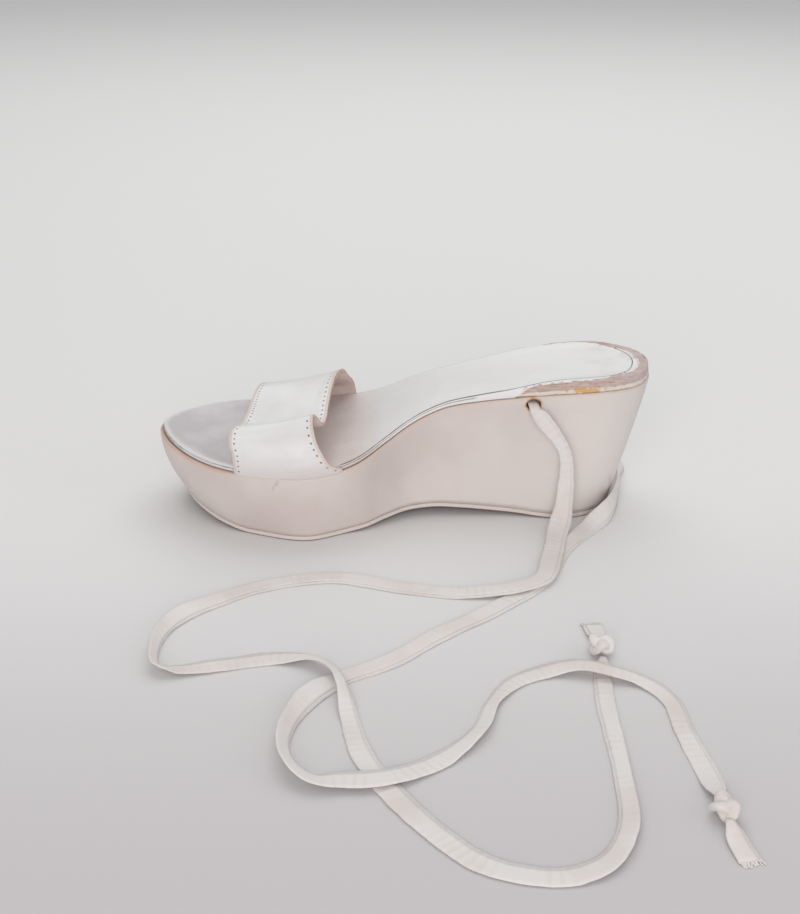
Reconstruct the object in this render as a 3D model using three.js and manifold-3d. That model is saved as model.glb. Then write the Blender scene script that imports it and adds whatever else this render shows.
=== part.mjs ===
// A platform sandal for the left foot, in millimetres: a leather-covered platform on a thin
// outsole, a covered insole board, a collapsed vamp strap and a cotton tape tie through the heel.
// The toe points to -X, the outer side of the foot to -Y, and the sole stands on z = 0.
import * as THREE from 'three';
import { mergeVertices } from 'three/addons/utils/BufferGeometryUtils.js';
import Module from 'manifold-3d';

const wasm = await Module();
wasm.setup();

// Sole: lengths, widths and heights
const shoeLength = 232;
const ballWidth = 94;
const ballHeight = 35.6;
const toeRise = 3.5;
const heelRise = 34.9;
const archLift = 4.4;
const toeSpring = 7;
const outsoleThickness = 2.2;
const toeUndercut = 9;
const heelUndercut = 16;

// Insole: board, the leather wrapped over it and where its edge has worn through
const boardAtToe = 1.4;
const boardAtHeel = 4.8;
const coverThickness = 0.8;
const coverEdgeRound = 0.6;
const wornHem = 0.3;
const wornStartNear = 50;
const wornStartFar = 60;
const wornRunOut = 8;

// Strap: wall, height over the insole and how far its ends reach in under the board
const strapWall = 1.8;
const strapRise = 28;
const strapEndWall = 1;
const strapTuck = 12;
const strapBend = 1.8;

// Tie: a flat cotton tape in a tunnel that crosses the heel
const tapeWidth = 9.5;
const tapeThickness = 1.2;
const tunnelX = 58;
const tunnelWidth = 6.8;
const tunnelHeight = 5;
const tunnelRoof = 1.2;
const knotLength = 13;
const knotWidth = 11;
const knotHeight = 8;

// Clearance between pieces that touch, and between the strap's feet and the insole's edge
const gap = 0.3;
const footGap = 0.6;

// Tables. along is a share of shoeLength from the toe.

// The insole's outline from above, once around: across is a share of half of ballWidth,
// negative on the outer side.
const insolePlan = [
  { along: 0.000, across: 0.22 },
  { along: 0.012, across: -0.06 },
  { along: 0.042, across: -0.35 },
  { along: 0.085, across: -0.60 },
  { along: 0.144, across: -0.80 },
  { along: 0.220, across: -0.93 },
  { along: 0.290, across: -0.97 },
  { along: 0.347, across: -0.935 },
  { along: 0.398, across: -0.84 },
  { along: 0.450, across: -0.635 },
  { along: 0.500, across: -0.485 },
  { along: 0.560, across: -0.43 },
  { along: 0.640, across: -0.455 },
  { along: 0.740, across: -0.52 },
  { along: 0.860, across: -0.57 },
  { along: 0.925, across: -0.53 },
  { along: 0.968, across: -0.40 },
  { along: 0.992, across: -0.19 },
  { along: 1.000, across: 0.04 },
  { along: 0.988, across: 0.27 },
  { along: 0.953, across: 0.46 },
  { along: 0.903, across: 0.59 },
  { along: 0.840, across: 0.62 },
  { along: 0.755, across: 0.60 },
  { along: 0.670, across: 0.56 },
  { along: 0.585, across: 0.55 },
  { along: 0.520, across: 0.62 },
  { along: 0.458, across: 0.725 },
  { along: 0.395, across: 0.87 },
  { along: 0.322, across: 0.985 },
  { along: 0.245, across: 1.00 },
  { along: 0.170, across: 0.975 },
  { along: 0.100, across: 0.86 },
  { along: 0.050, across: 0.66 },
  { along: 0.015, across: 0.44 },
];

// The insole's top seen from the side: shares of toeRise and heelRise over ballHeight
const insoleProfile = [
  { along: 0.00, toe: 1.00, heel: 0.000 },
  { along: 0.06, toe: 0.50, heel: 0.000 },
  { along: 0.12, toe: 0.20, heel: 0.000 },
  { along: 0.20, toe: 0.03, heel: 0.000 },
  { along: 0.27, toe: 0.00, heel: 0.000 },
  { along: 0.33, toe: 0.00, heel: 0.025 },
  { along: 0.37, toe: 0.00, heel: 0.068 },
  { along: 0.415, toe: 0.00, heel: 0.156 },
  { along: 0.46, toe: 0.00, heel: 0.283 },
  { along: 0.50, toe: 0.00, heel: 0.419 },
  { along: 0.54, toe: 0.00, heel: 0.550 },
  { along: 0.585, toe: 0.00, heel: 0.663 },
  { along: 0.65, toe: 0.00, heel: 0.765 },
  { along: 0.71, toe: 0.00, heel: 0.849 },
  { along: 0.78, toe: 0.00, heel: 0.931 },
  { along: 0.85, toe: 0.00, heel: 0.980 },
  { along: 0.93, toe: 0.00, heel: 1.000 },
  { along: 1.00, toe: 0.00, heel: 1.000 },
];

// The underside seen from the side: shares of toeSpring and archLift, flat where both are 0
const soleProfile = [
  { along: 0.02, spring: 1.00, arch: 0.00 },
  { along: 0.06, spring: 0.70, arch: 0.00 },
  { along: 0.12, spring: 0.30, arch: 0.00 },
  { along: 0.16, spring: 0.06, arch: 0.00 },
  { along: 0.18, spring: 0.00, arch: 0.00 },
  { along: 0.35, spring: 0.00, arch: 0.00 },
  { along: 0.41, spring: 0.00, arch: 0.25 },
  { along: 0.46, spring: 0.00, arch: 0.66 },
  { along: 0.51, spring: 0.00, arch: 0.92 },
  { along: 0.56, spring: 0.00, arch: 1.00 },
  { along: 0.61, spring: 0.00, arch: 0.87 },
  { along: 0.67, spring: 0.00, arch: 0.60 },
  { along: 0.73, spring: 0.00, arch: 0.30 },
  { along: 0.78, spring: 0.00, arch: 0.08 },
  { along: 0.82, spring: 0.00, arch: 0.00 },
  { along: 1.00, spring: 0.00, arch: 0.00 },
];

// The platform's wall: narrowing is the share of width lost at the floor, bulge how round the
// wall is, ledge the share of the strap's wall by which the platform's top stands out
const wallShape = [
  { along: 0.00, narrowing: 0.12, bulge: 2.0, ledge: 1.00 },
  { along: 0.15, narrowing: 0.12, bulge: 1.8, ledge: 1.00 },
  { along: 0.28, narrowing: 0.06, bulge: 1.5, ledge: 1.00 },
  { along: 0.38, narrowing: 0.14, bulge: 1.4, ledge: 1.00 },
  { along: 0.50, narrowing: 0.00, bulge: 1.3, ledge: 0.50 },
  { along: 0.62, narrowing: 0.02, bulge: 1.3, ledge: 0.25 },
  { along: 0.75, narrowing: 0.08, bulge: 1.2, ledge: 0.20 },
  { along: 0.86, narrowing: 0.01, bulge: 1.2, ledge: 0.15 },
  { along: 1.00, narrowing: 0.06, bulge: 1.1, ledge: 0.15 },
];
const wallLevels = [0, 0.12, 0.35, 0.62, 0.86, 1];

// The strap from its near foot to its far foot. across is a share of the insole's width there,
// rise a share of strapRise over the insole, each at the front and at the back cut edge.
const strapFolds = [
  { fold: 'near foot', front: 0.154, back: 0.341, acrossF: -0.012, riseF: 0.10, acrossB: -0.01, riseB: 0.09 },
  { fold: 'near shin', front: 0.153, back: 0.328, acrossF: -0.012, riseF: 0.23, acrossB: 0.000, riseB: 0.27 },
  { fold: 'near bend', front: 0.147, back: 0.317, acrossF: -0.002, riseF: 0.42, acrossB: 0.022, riseB: 0.47 },
  { fold: 'near rise', front: 0.149, back: 0.311, acrossF: 0.025, riseF: 0.54, acrossB: 0.065, riseB: 0.69 },
  { fold: 'near crest', front: 0.156, back: 0.312, acrossF: 0.085, riseF: 0.58, acrossB: 0.105, riseB: 0.81 },
  { fold: 'crest back', front: 0.163, back: 0.319, acrossF: 0.140, riseF: 0.55, acrossB: 0.145, riseB: 0.73 },
  { fold: 'valley', front: 0.170, back: 0.330, acrossF: 0.215, riseF: 0.53, acrossB: 0.195, riseB: 0.52 },
  { fold: 'valley end', front: 0.177, back: 0.336, acrossF: 0.290, riseF: 0.57, acrossB: 0.250, riseB: 0.50 },
  { fold: 'panel', front: 0.183, back: 0.345, acrossF: 0.430, riseF: 0.59, acrossB: 0.420, riseB: 0.66 },
  { fold: 'far rise', front: 0.190, back: 0.356, acrossF: 0.555, riseF: 0.63, acrossB: 0.575, riseB: 0.81 },
  { fold: 'far crest', front: 0.198, back: 0.365, acrossF: 0.650, riseF: 0.65, acrossB: 0.665, riseB: 0.815 },
  { fold: 'shoulder', front: 0.205, back: 0.376, acrossF: 0.750, riseF: 0.57, acrossB: 0.775, riseB: 0.72 },
  { fold: 'far bend', front: 0.200, back: 0.388, acrossF: 0.890, riseF: 0.36, acrossB: 0.905, riseB: 0.43 },
  { fold: 'far shin', front: 0.192, back: 0.398, acrossF: 0.990, riseF: 0.16, acrossB: 0.990, riseB: 0.18 },
];
const strapFeet = { nearFront: 0.155, nearBack: 0.366, farFront: 0.190, farBack: 0.403 };

// The tape's centre line from the middle of the tunnel to its knot. lift is the height of the
// tape's lowest edge, hang turns its face outwards (-1 to 1), roll tips it onto an edge in
// degrees, and gather is the share of the width that lies open.
const lateralTape = [
  { x: 58.8, y: -0.4, lift: 57.6, hang: 0, roll: 0, gather: 0.5 },
  { x: 58.8, y: -27.4, lift: 57.6, hang: 0.1, roll: 0, gather: 0.5 },
  { x: 59.4, y: -31.5, lift: 56.1, hang: 0.6, roll: 0, gather: 0.55 },
  { x: 62.5, y: -33.5, lift: 52.5, hang: 1, roll: 0, gather: 0.8 },
  { x: 72.8, y: -35.0, lift: 37, hang: 1, roll: 10, gather: 0.55 },
  { x: 73.9, y: -35.7, lift: 20, hang: 1, roll: 18, gather: 0.75 },
  { x: 72.3, y: -38.5, lift: 6, hang: 0.8, roll: 5, gather: 1 },
  { x: 69.6, y: -45.0, lift: 2, hang: 0.2, roll: 0, gather: 1 },
  { x: 63.9, y: -67.6, lift: 1.9, hang: 0, roll: 0, gather: 0.95 },
  { x: 56.1, y: -90.6, lift: 1.8, hang: 0, roll: 0, gather: 0.95 },
  { x: 45.2, y: -97.3, lift: 1.8, hang: 0, roll: 0, gather: 0.95 },
  { x: 33.2, y: -99.4, lift: 1.2, hang: 0, roll: 0, gather: 1 },
  { x: 14.7, y: -98.2, lift: 0, hang: 0, roll: 0, gather: 1 },
  { x: -6.6, y: -92.2, lift: 0, hang: 0, roll: 0, gather: 1 },
  { x: -34.7, y: -82.0, lift: 0, hang: 0, roll: 0, gather: 1 },
  { x: -65.3, y: -87.7, lift: 0, hang: 0, roll: 0, gather: 1 },
  { x: -87.3, y: -102.1, lift: 0, hang: 0, roll: -10, gather: 0.9 },
  { x: -99.0, y: -114.2, lift: 0, hang: 0, roll: -35, gather: 0.78 },
  { x: -105.9, y: -128.5, lift: 0, hang: 0, roll: -55, gather: 0.7 },
  { x: -107.6, y: -144.8, lift: 0, hang: 0, roll: -65, gather: 0.7 },
  { x: -105.5, y: -154.7, lift: 0, hang: 0, roll: -45, gather: 0.75 },
  { x: -98.2, y: -155.4, lift: 0, hang: 0, roll: -10, gather: 0.9 },
  { x: -83.1, y: -152.3, lift: 0, hang: 0, roll: 0, gather: 1 },
  { x: -57.5, y: -148.0, lift: 0, hang: 0, roll: 0, gather: 1 },
  { x: -42.7, y: -153.4, lift: 1.6, hang: 0, roll: -20, gather: 0.7 },
  { x: -35.7, y: -163.2, lift: 1.9, hang: 0, roll: -35, gather: 0.55 },
  { x: -32.8, y: -175.3, lift: 1.9, hang: 0, roll: -25, gather: 0.55 },
  { x: -30.6, y: -192.2, lift: 0.2, hang: 0, roll: 0, gather: 0.75 },
  { x: -26.1, y: -216.9, lift: 0, hang: 0, roll: 0, gather: 0.9 },
  { x: -16.8, y: -238.6, lift: 0, hang: 0, roll: 0, gather: 1 },
  { x: -2.9, y: -261.6, lift: 0, hang: 0, roll: 0, gather: 1 },
  { x: 10.5, y: -277.1, lift: 0, hang: 0, roll: 0, gather: 1 },
  { x: 24.9, y: -283.8, lift: 0, hang: 0, roll: 0, gather: 1 },
  { x: 38.2, y: -284.9, lift: 0, hang: 0, roll: 0, gather: 1 },
  { x: 50.8, y: -279.3, lift: 0, hang: 0, roll: -10, gather: 1 },
  { x: 60.4, y: -262.9, lift: 0, hang: 0, roll: -20, gather: 0.8 },
  { x: 64.3, y: -231.9, lift: 0, hang: 0, roll: -10, gather: 0.65 },
  { x: 66.7, y: -184.9, lift: 0, hang: 0, roll: 0, gather: 0.8 },
  { x: 69.3, y: -164.0, lift: 0.2, hang: 0, roll: 0, gather: 0.7 },
  { x: 70.7, y: -156.5, lift: 1.5, hang: 0, roll: 0, gather: 0.6 },
];
const medialTape = [
  { x: 58.8, y: 0.4, lift: 57.6, hang: 0, roll: 0, gather: 0.5 },
  { x: 58.8, y: 29.8, lift: 57.6, hang: -0.1, roll: 0, gather: 0.5 },
  { x: 59.0, y: 34.5, lift: 55.9, hang: -0.6, roll: 0, gather: 0.52 },
  { x: 59.8, y: 37.0, lift: 50, hang: -1, roll: 0, gather: 0.7 },
  { x: 66.0, y: 38.5, lift: 23, hang: -1, roll: 0, gather: 0.95 },
  { x: 70.0, y: 40.0, lift: 9, hang: -0.8, roll: 0, gather: 1 },
  { x: 77.0, y: 44.0, lift: 1.5, hang: -0.2, roll: 0, gather: 1 },
  { x: 94.0, y: 46.0, lift: 0, hang: 0, roll: 0, gather: 1 },
  { x: 111.5, y: 32.0, lift: 0, hang: 0, roll: -55, gather: 1 },
  { x: 108.5, y: 13.4, lift: 0, hang: 0, roll: -80, gather: 1 },
  { x: 104.3, y: -6.6, lift: 0, hang: 0, roll: -85, gather: 1 },
  { x: 96.5, y: -28.1, lift: 0, hang: 0, roll: -70, gather: 1 },
  { x: 84.4, y: -41.0, lift: 0, hang: 0, roll: -8, gather: 0.95 },
  { x: 69.7, y: -60.4, lift: 0, hang: 0, roll: 0, gather: 0.9 },
  { x: 55.4, y: -90.0, lift: 0, hang: 0, roll: 0, gather: 0.95 },
  { x: 30.3, y: -115.0, lift: 0, hang: 0, roll: 0, gather: 1 },
  { x: 7.7, y: -132.8, lift: 0, hang: 0, roll: 0, gather: 1 },
  { x: -13.8, y: -152.6, lift: 0, hang: 0, roll: 0, gather: 1 },
  { x: -33.1, y: -164.1, lift: 0, hang: 0, roll: 0, gather: 1 },
  { x: -44.0, y: -176.6, lift: 0, hang: 0, roll: -25, gather: 1 },
  { x: -51.7, y: -192.9, lift: 0, hang: 0, roll: -50, gather: 0.85 },
  { x: -55.1, y: -209.2, lift: 0, hang: 0, roll: -55, gather: 0.85 },
  { x: -52.4, y: -222.7, lift: 0, hang: 0, roll: -45, gather: 1 },
  { x: -44.7, y: -231.5, lift: 0.6, hang: 0, roll: -20, gather: 1 },
  { x: -34.2, y: -232.4, lift: 1.8, hang: 0, roll: 0, gather: 1 },
  { x: -19.2, y: -231.7, lift: 1.8, hang: 0, roll: 0, gather: 1 },
  { x: 0.2, y: -220.8, lift: 0, hang: 0, roll: 0, gather: 1 },
  { x: 16.6, y: -203.8, lift: 0, hang: 0, roll: -25, gather: 0.8 },
  { x: 23.8, y: -184.9, lift: 0, hang: 0, roll: -15, gather: 0.6 },
  { x: 34.0, y: -170.5, lift: 0, hang: 0, roll: 0, gather: 0.85 },
  { x: 47.9, y: -163.6, lift: 0.4, hang: 0, roll: 0, gather: 1 },
  { x: 60.4, y: -163.8, lift: 2.9, hang: 0, roll: 0, gather: 0.9 },
  { x: 72.2, y: -168.8, lift: 2.9, hang: 0, roll: 0, gather: 0.75 },
  { x: 84.3, y: -174.1, lift: 0.6, hang: 0, roll: 0, gather: 0.8 },
  { x: 91.7, y: -186.9, lift: 0, hang: 0, roll: 0, gather: 0.75 },
  { x: 92.5, y: -206.9, lift: 0, hang: 0, roll: 0, gather: 0.8 },
  { x: 95.0, y: -236.0, lift: 0, hang: 0, roll: 0, gather: 0.95 },
  { x: 94.5, y: -250.0, lift: 2.8, hang: 0, roll: 0, gather: 0.6 },
];

// The frayed ends past the knots
const lateralTip = [
  { x: 71.3, y: -143.8, lift: 3.0, hang: 0, roll: 0, gather: 0.6 },
  { x: 71.5, y: -137.5, lift: 0.9, hang: 0, roll: 0, gather: 0.8 },
  { x: 71.2, y: -129.5, lift: 0.4, hang: 0, roll: 0, gather: 0.85 },
];
const medialTip = [
  { x: 94.6, y: -262.9, lift: 3.0, hang: 0, roll: 0, gather: 0.6 },
  { x: 95.6, y: -271.5, lift: 0.7, hang: 0, roll: 0, gather: 0.8 },
  { x: 97.2, y: -281.0, lift: 0, hang: 0, roll: 0, gather: 0.85 },
];

// Smooth reading of a table's column, with no overshoot between its rows
function read(table, column, at) {
  const last = table.length - 1;
  const place = Math.min(Math.max(at, table[0].along), table[last].along);
  const slope = (i) => (table[i + 1][column] - table[i][column]) / (table[i + 1].along - table[i].along);
  const tangent = (i) => {
    if (i === 0) return slope(0);
    if (i === last) return slope(last - 1);
    const before = slope(i - 1);
    const after = slope(i);
    return before * after <= 0 ? 0 : (2 * before * after) / (before + after);
  };
  let row = 0;
  while (row < last - 1 && place > table[row + 1].along) row += 1;
  const width = table[row + 1].along - table[row].along;
  const t = (place - table[row].along) / width;
  const rest = 1 - t;
  return table[row][column] * rest * rest * (1 + 2 * t)
    + table[row + 1][column] * t * t * (3 - 2 * t)
    + width * t * rest * (tangent(row) * rest - tangent(row + 1) * t);
}

const { lerp, smoothstep, degToRad } = THREE.MathUtils;
const alongAt = (x) => x / shoeLength + 0.5;
const xAt = (along) => (along - 0.5) * shoeLength;
const insoleTop = (x) => ballHeight
  + toeRise * read(insoleProfile, 'toe', alongAt(x))
  + heelRise * read(insoleProfile, 'heel', alongAt(x));
const boardThickness = (x) => lerp(boardAtToe, boardAtHeel, smoothstep(alongAt(x), 0.55, 0.85));
const insoleBottom = (x) => insoleTop(x) - coverThickness - gap - boardThickness(x);
const platformTop = (x) => insoleBottom(x) - gap;
const soleBottom = (x) => toeSpring * read(soleProfile, 'spring', alongAt(x))
  + archLift * read(soleProfile, 'arch', alongAt(x));

// The insole's outline moved outwards by a distance, a number or a function of x, as the near
// and far y at any x between its two tips
const planCurve = new THREE.CatmullRomCurve3(
  insolePlan.map((row) => new THREE.Vector3(xAt(row.along), (row.across * ballWidth) / 2, 0)), true);
const planPoints = planCurve.getSpacedPoints(300).slice(0, -1);

function outline(outwards) {
  const count = planPoints.length;
  const moved = planPoints.map((point, i) => {
    const before = planPoints[(i + count - 1) % count];
    const after = planPoints[(i + 1) % count];
    const out = new THREE.Vector2(after.y - before.y, before.x - after.x).normalize();
    const distance = typeof outwards === 'number' ? outwards : outwards(point.x);
    return { x: point.x + out.x * distance, y: point.y + out.y * distance };
  });
  const toe = moved.reduce((tip, point) => (point.x < tip.x ? point : tip));
  const heel = moved.reduce((tip, point) => (point.x > tip.x ? point : tip));
  const sides = (x) => {
    const crossings = [];
    moved.forEach((point, i) => {
      const next = moved[(i + 1) % count];
      if ((point.x - x) * (next.x - x) <= 0 && point.x !== next.x) {
        crossings.push(lerp(point.y, next.y, (x - point.x) / (next.x - point.x)));
      }
    });
    return { near: Math.min(...crossings), far: Math.max(...crossings) };
  };
  return { toe, heel, sides };
}

// Stations from toe to heel, closer together at the round ends
const stationCount = 40;
const stations = Array.from(
  { length: stationCount + 1 }, (_, i) => (1 - Math.cos((Math.PI * i) / stationCount)) / 2);

// A ring is the closed loop of points of one level: toe tip, near side, heel tip, far side.
// height(x, side, share) gives each point's z.
function ring(edge, height) {
  const near = [];
  const far = [];
  stations.forEach((share, i) => {
    const x = lerp(edge.toe.x, edge.heel.x, share);
    const atTip = i === 0 || i === stationCount;
    const tip = i === 0 ? edge.toe : edge.heel;
    const y = atTip ? { near: tip.y, far: tip.y } : edge.sides(x);
    near.push(new THREE.Vector3(x, y.near, height(x, 'near', share)));
    far.push(new THREE.Vector3(x, y.far, height(x, 'far', share)));
  });
  return [...near, ...far.slice(1, -1).reverse()];
}

// A closed solid through rings, from the one that closes it below to the one that closes it
// above. Each closing face is a strip from the near to the far side.
function solidOfRings(rings) {
  const size = rings[0].length;
  const positions = rings.flat().flatMap((point) => [point.x, point.y, point.z]);
  const faces = [];
  const top = (rings.length - 1) * size;
  const opposite = (i) => (size - i) % size;
  for (let i = 0; i < stationCount; i += 1) {
    const corners = [i, i + 1, opposite(i + 1), opposite(i)];
    if (i > 0) faces.push([corners[0], corners[3], corners[2]]);
    if (i > 0) faces.push([top + corners[0], top + corners[2], top + corners[3]]);
    if (i < stationCount - 1) faces.push([corners[0], corners[2], corners[1]]);
    if (i < stationCount - 1) faces.push([top + corners[0], top + corners[1], top + corners[2]]);
  }
  for (let level = 0; level < rings.length - 1; level += 1) {
    for (let i = 0; i < size; i += 1) {
      const low = level * size + i;
      const lowNext = level * size + ((i + 1) % size);
      faces.push([low, lowNext, lowNext + size], [low, lowNext + size, low + size]);
    }
  }
  return meshOf(positions, faces);
}

function meshOf(positions, faces) {
  const geometry = new THREE.BufferGeometry();
  geometry.setAttribute('position', new THREE.Float32BufferAttribute(positions, 3));
  geometry.setIndex(faces.flat());
  return geometry;
}

// The outsole and the platform share the platform's outline at the floor
const shapeAt = (column, share) => read(wallShape, column, share);
const ledgeOut = (x) => strapWall * shapeAt('ledge', alongAt(x));
const platformEdge = outline(ledgeOut);
const floorToe = -shoeLength / 2 + toeUndercut;
const floorHeel = shoeLength / 2 - heelUndercut;

function floorPoint(topPoint, share) {
  const middle = (platformEdge.toe.y + platformEdge.heel.y) / 2;
  const y = middle + (topPoint.y - middle) * (1 - shapeAt('narrowing', share));
  return new THREE.Vector3(lerp(floorToe, floorHeel, share), y, 0);
}

// The station's share for each point of a ring
const ringShares = [...stations, ...stations.slice(1, -1).reverse()];

// Outsole
function outsole() {
  const top = ring(platformEdge, () => 0);
  const levels = [0, outsoleThickness].map((rise) => top.map((point, i) => {
    const foot = floorPoint(point, ringShares[i]);
    return foot.setZ(soleBottom(foot.x) + rise);
  }));
  return solidOfRings(levels);
}

// Platform: its wall narrows to the outsole, and the tunnel and the strap's ends are cut out
function platform() {
  const top = ring(platformEdge, (x) => platformTop(x));
  const levels = wallLevels.map((level) => top.map((point, i) => {
    const share = ringShares[i];
    const foot = floorPoint(point, share);
    foot.setZ(soleBottom(foot.x) + outsoleThickness + gap);
    const out = 1 - (1 - level) ** shapeAt('bulge', share);
    return new THREE.Vector3(
      lerp(foot.x, point.x, out), lerp(foot.y, point.y, out), lerp(foot.z, point.z, level));
  }));
  return solidOfRings(levels);
}

const tunnelZ = platformTop(tunnelX) - tunnelRoof - tunnelHeight / 2;

function tunnelCutter() {
  const cutter = new THREE.CylinderGeometry(0.5, 0.5, 2 * ballWidth, 20);
  cutter.scale(tunnelWidth, 1, tunnelHeight);
  return cutter.translate(tunnelX, 0, tunnelZ);
}

// Insole board: its edge comes out to the leather's face where the leather is worn away
const wornStart = { near: wornStartNear, far: wornStartFar };
const worn = (x, side, late) => smoothstep(x - wornStart[side] - late, 0, wornRunOut);
const coverUnderside = (x) => insoleTop(x) - coverThickness;
const hemHeight = (x, side) => lerp(insoleBottom(x), coverUnderside(x) - wornHem, worn(x, side, 0));

function insoleBoard() {
  const inside = outline(-(coverThickness + gap));
  const flush = outline(-gap / 3);
  const bared = (x, side) => worn(x, side, wornRunOut);
  const inner = ring(inside, (x) => insoleBottom(x));
  const outer = ring(flush, (x) => insoleBottom(x));
  const sideOf = (i) => (i <= stationCount ? 'near' : 'far');
  const low = inner.map((point, i) => point.clone().lerp(outer[i], bared(point.x, sideOf(i))));
  const lip = low.map((point, i) => point.clone().setZ(
    Math.max(insoleBottom(point.x) + gap / 2, hemHeight(point.x, sideOf(i)) - gap)));
  const step = inner.map((point, i) => point.clone().setZ(lip[i].z + gap / 10));
  const top = inner.map((point) => point.clone().setZ(insoleTop(point.x) - coverThickness - gap));
  return solidOfRings([low, lip, step, top]);
}

// Insole cover: a thin leather sheet with a hem down the board's edge
function insoleCover() {
  const inside = outline(-coverThickness);
  const outside = outline(0);
  const shoulder = outline(-coverEdgeRound);
  return solidOfRings([
    ring(inside, (x) => coverUnderside(x)),
    ring(inside, (x, side) => Math.min(hemHeight(x, side), coverUnderside(x) - wornHem)),
    ring(outside, (x, side) => Math.min(hemHeight(x, side), coverUnderside(x) - wornHem)),
    ring(outside, (x) => insoleTop(x) - coverEdgeRound),
    ring(shoulder, (x) => insoleTop(x)),
  ]);
}

// Strap: rows of points from one end under the board, up its near side, across and down again,
// each with the wall's thickness there. The ends are pared thin.
const insoleEdge = outline(0);

function strapEnd(side, share, extraTuck) {
  const x = xAt(lerp(strapFeet[`${side}Front`], strapFeet[`${side}Back`], share));
  const inwards = side === 'near' ? 1 : -1;
  const edge = insoleEdge.sides(x)[side];
  const out = edge - inwards * (footGap + strapWall / 2);
  const seat = insoleBottom(x) - gap - strapEndWall / 2;
  const rows = [];
  for (const reach of [strapTuck + extraTuck, strapTuck / 2]) {
    rows.push({ point: new THREE.Vector3(x, edge + inwards * reach, seat), wall: strapEndWall });
  }
  const steps = 3;
  for (let step = 0; step <= steps; step += 1) {
    const turn = (step / steps) * (Math.PI / 2);
    const y = out + inwards * strapBend * (1 - Math.sin(turn));
    const z = seat + strapBend * (1 - Math.cos(turn));
    rows.push({ point: new THREE.Vector3(x, y, z), wall: lerp(strapEndWall, strapWall, step / steps) });
  }
  return side === 'near' ? rows : rows.reverse();
}

function strapRows(share, extraTuck) {
  const folds = strapFolds.map((fold) => {
    const x = xAt(lerp(fold.front, fold.back, share));
    const { near, far } = insoleEdge.sides(x);
    const y = lerp(near, far, lerp(fold.acrossF, fold.acrossB, share));
    const z = insoleTop(x) + strapRise * lerp(fold.riseF, fold.riseB, share);
    const clear = { near: near - footGap - strapWall / 2, far: far + footGap + strapWall / 2 };
    const isFoot = fold === strapFolds[0] || fold === strapFolds.at(-1);
    const footY = fold === strapFolds[0] ? clear.near : clear.far;
    return { point: new THREE.Vector3(x, isFoot ? footY : y, z), wall: strapWall };
  });
  return [...strapEnd('near', share, extraTuck), ...folds, ...strapEnd('far', share, extraTuck)];
}

// clearance widens the strap all round, for the hollow that its ends lie in
function strap(clearance) {
  const across = 3;
  const lengthwise = 8;
  const columns = [];
  const walls = [];
  const reach = clearance / (shoeLength * (strapFeet.nearBack - strapFeet.nearFront));
  for (let j = 0; j <= lengthwise; j += 1) {
    const rows = strapRows(lerp(-reach, 1 + reach, j / lengthwise), clearance);
    const curve = new THREE.CatmullRomCurve3(rows.map((row) => row.point), false, 'centripetal');
    columns.push(curve.getPoints((rows.length - 1) * across));
    walls.push(columns[j].map((_, i) => {
      const row = Math.min(Math.floor(i / across), rows.length - 2);
      return lerp(rows[row].wall, rows[row + 1].wall, i / across - row) / 2 + clearance;
    }));
  }
  const rowCount = columns[0].length;
  const positions = [];
  for (const side of [1, -1]) {
    columns.forEach((column, j) => column.forEach((point, i) => {
      const alongRow = new THREE.Vector3().subVectors(
        columns[Math.min(j + 1, lengthwise)][i], columns[Math.max(j - 1, 0)][i]);
      const alongColumn = new THREE.Vector3().subVectors(
        column[Math.min(i + 1, rowCount - 1)], column[Math.max(i - 1, 0)]);
      const out = alongRow.cross(alongColumn).normalize();
      const moved = point.clone().addScaledVector(out, side * walls[j][i]);
      positions.push(moved.x, moved.y, moved.z);
    }));
  }
  const faces = [];
  const outer = (j, i) => j * rowCount + i;
  const inner = (j, i) => (lengthwise + 1 + j) * rowCount + i;
  const quad = (a, b, c, d) => faces.push([a, b, c], [a, c, d]);
  for (let j = 0; j < lengthwise; j += 1) {
    for (let i = 0; i < rowCount - 1; i += 1) {
      quad(outer(j, i), outer(j + 1, i), outer(j + 1, i + 1), outer(j, i + 1));
      quad(inner(j, i), inner(j, i + 1), inner(j + 1, i + 1), inner(j + 1, i));
    }
    quad(outer(j, 0), inner(j, 0), inner(j + 1, 0), outer(j + 1, 0));
    const last = rowCount - 1;
    quad(outer(j, last), outer(j + 1, last), inner(j + 1, last), inner(j, last));
  }
  for (let i = 0; i < rowCount - 1; i += 1) {
    quad(outer(0, i), outer(0, i + 1), inner(0, i + 1), inner(0, i));
    quad(outer(lengthwise, i), inner(lengthwise, i), inner(lengthwise, i + 1), outer(lengthwise, i + 1));
  }
  return meshOf(positions, faces);
}

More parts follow.
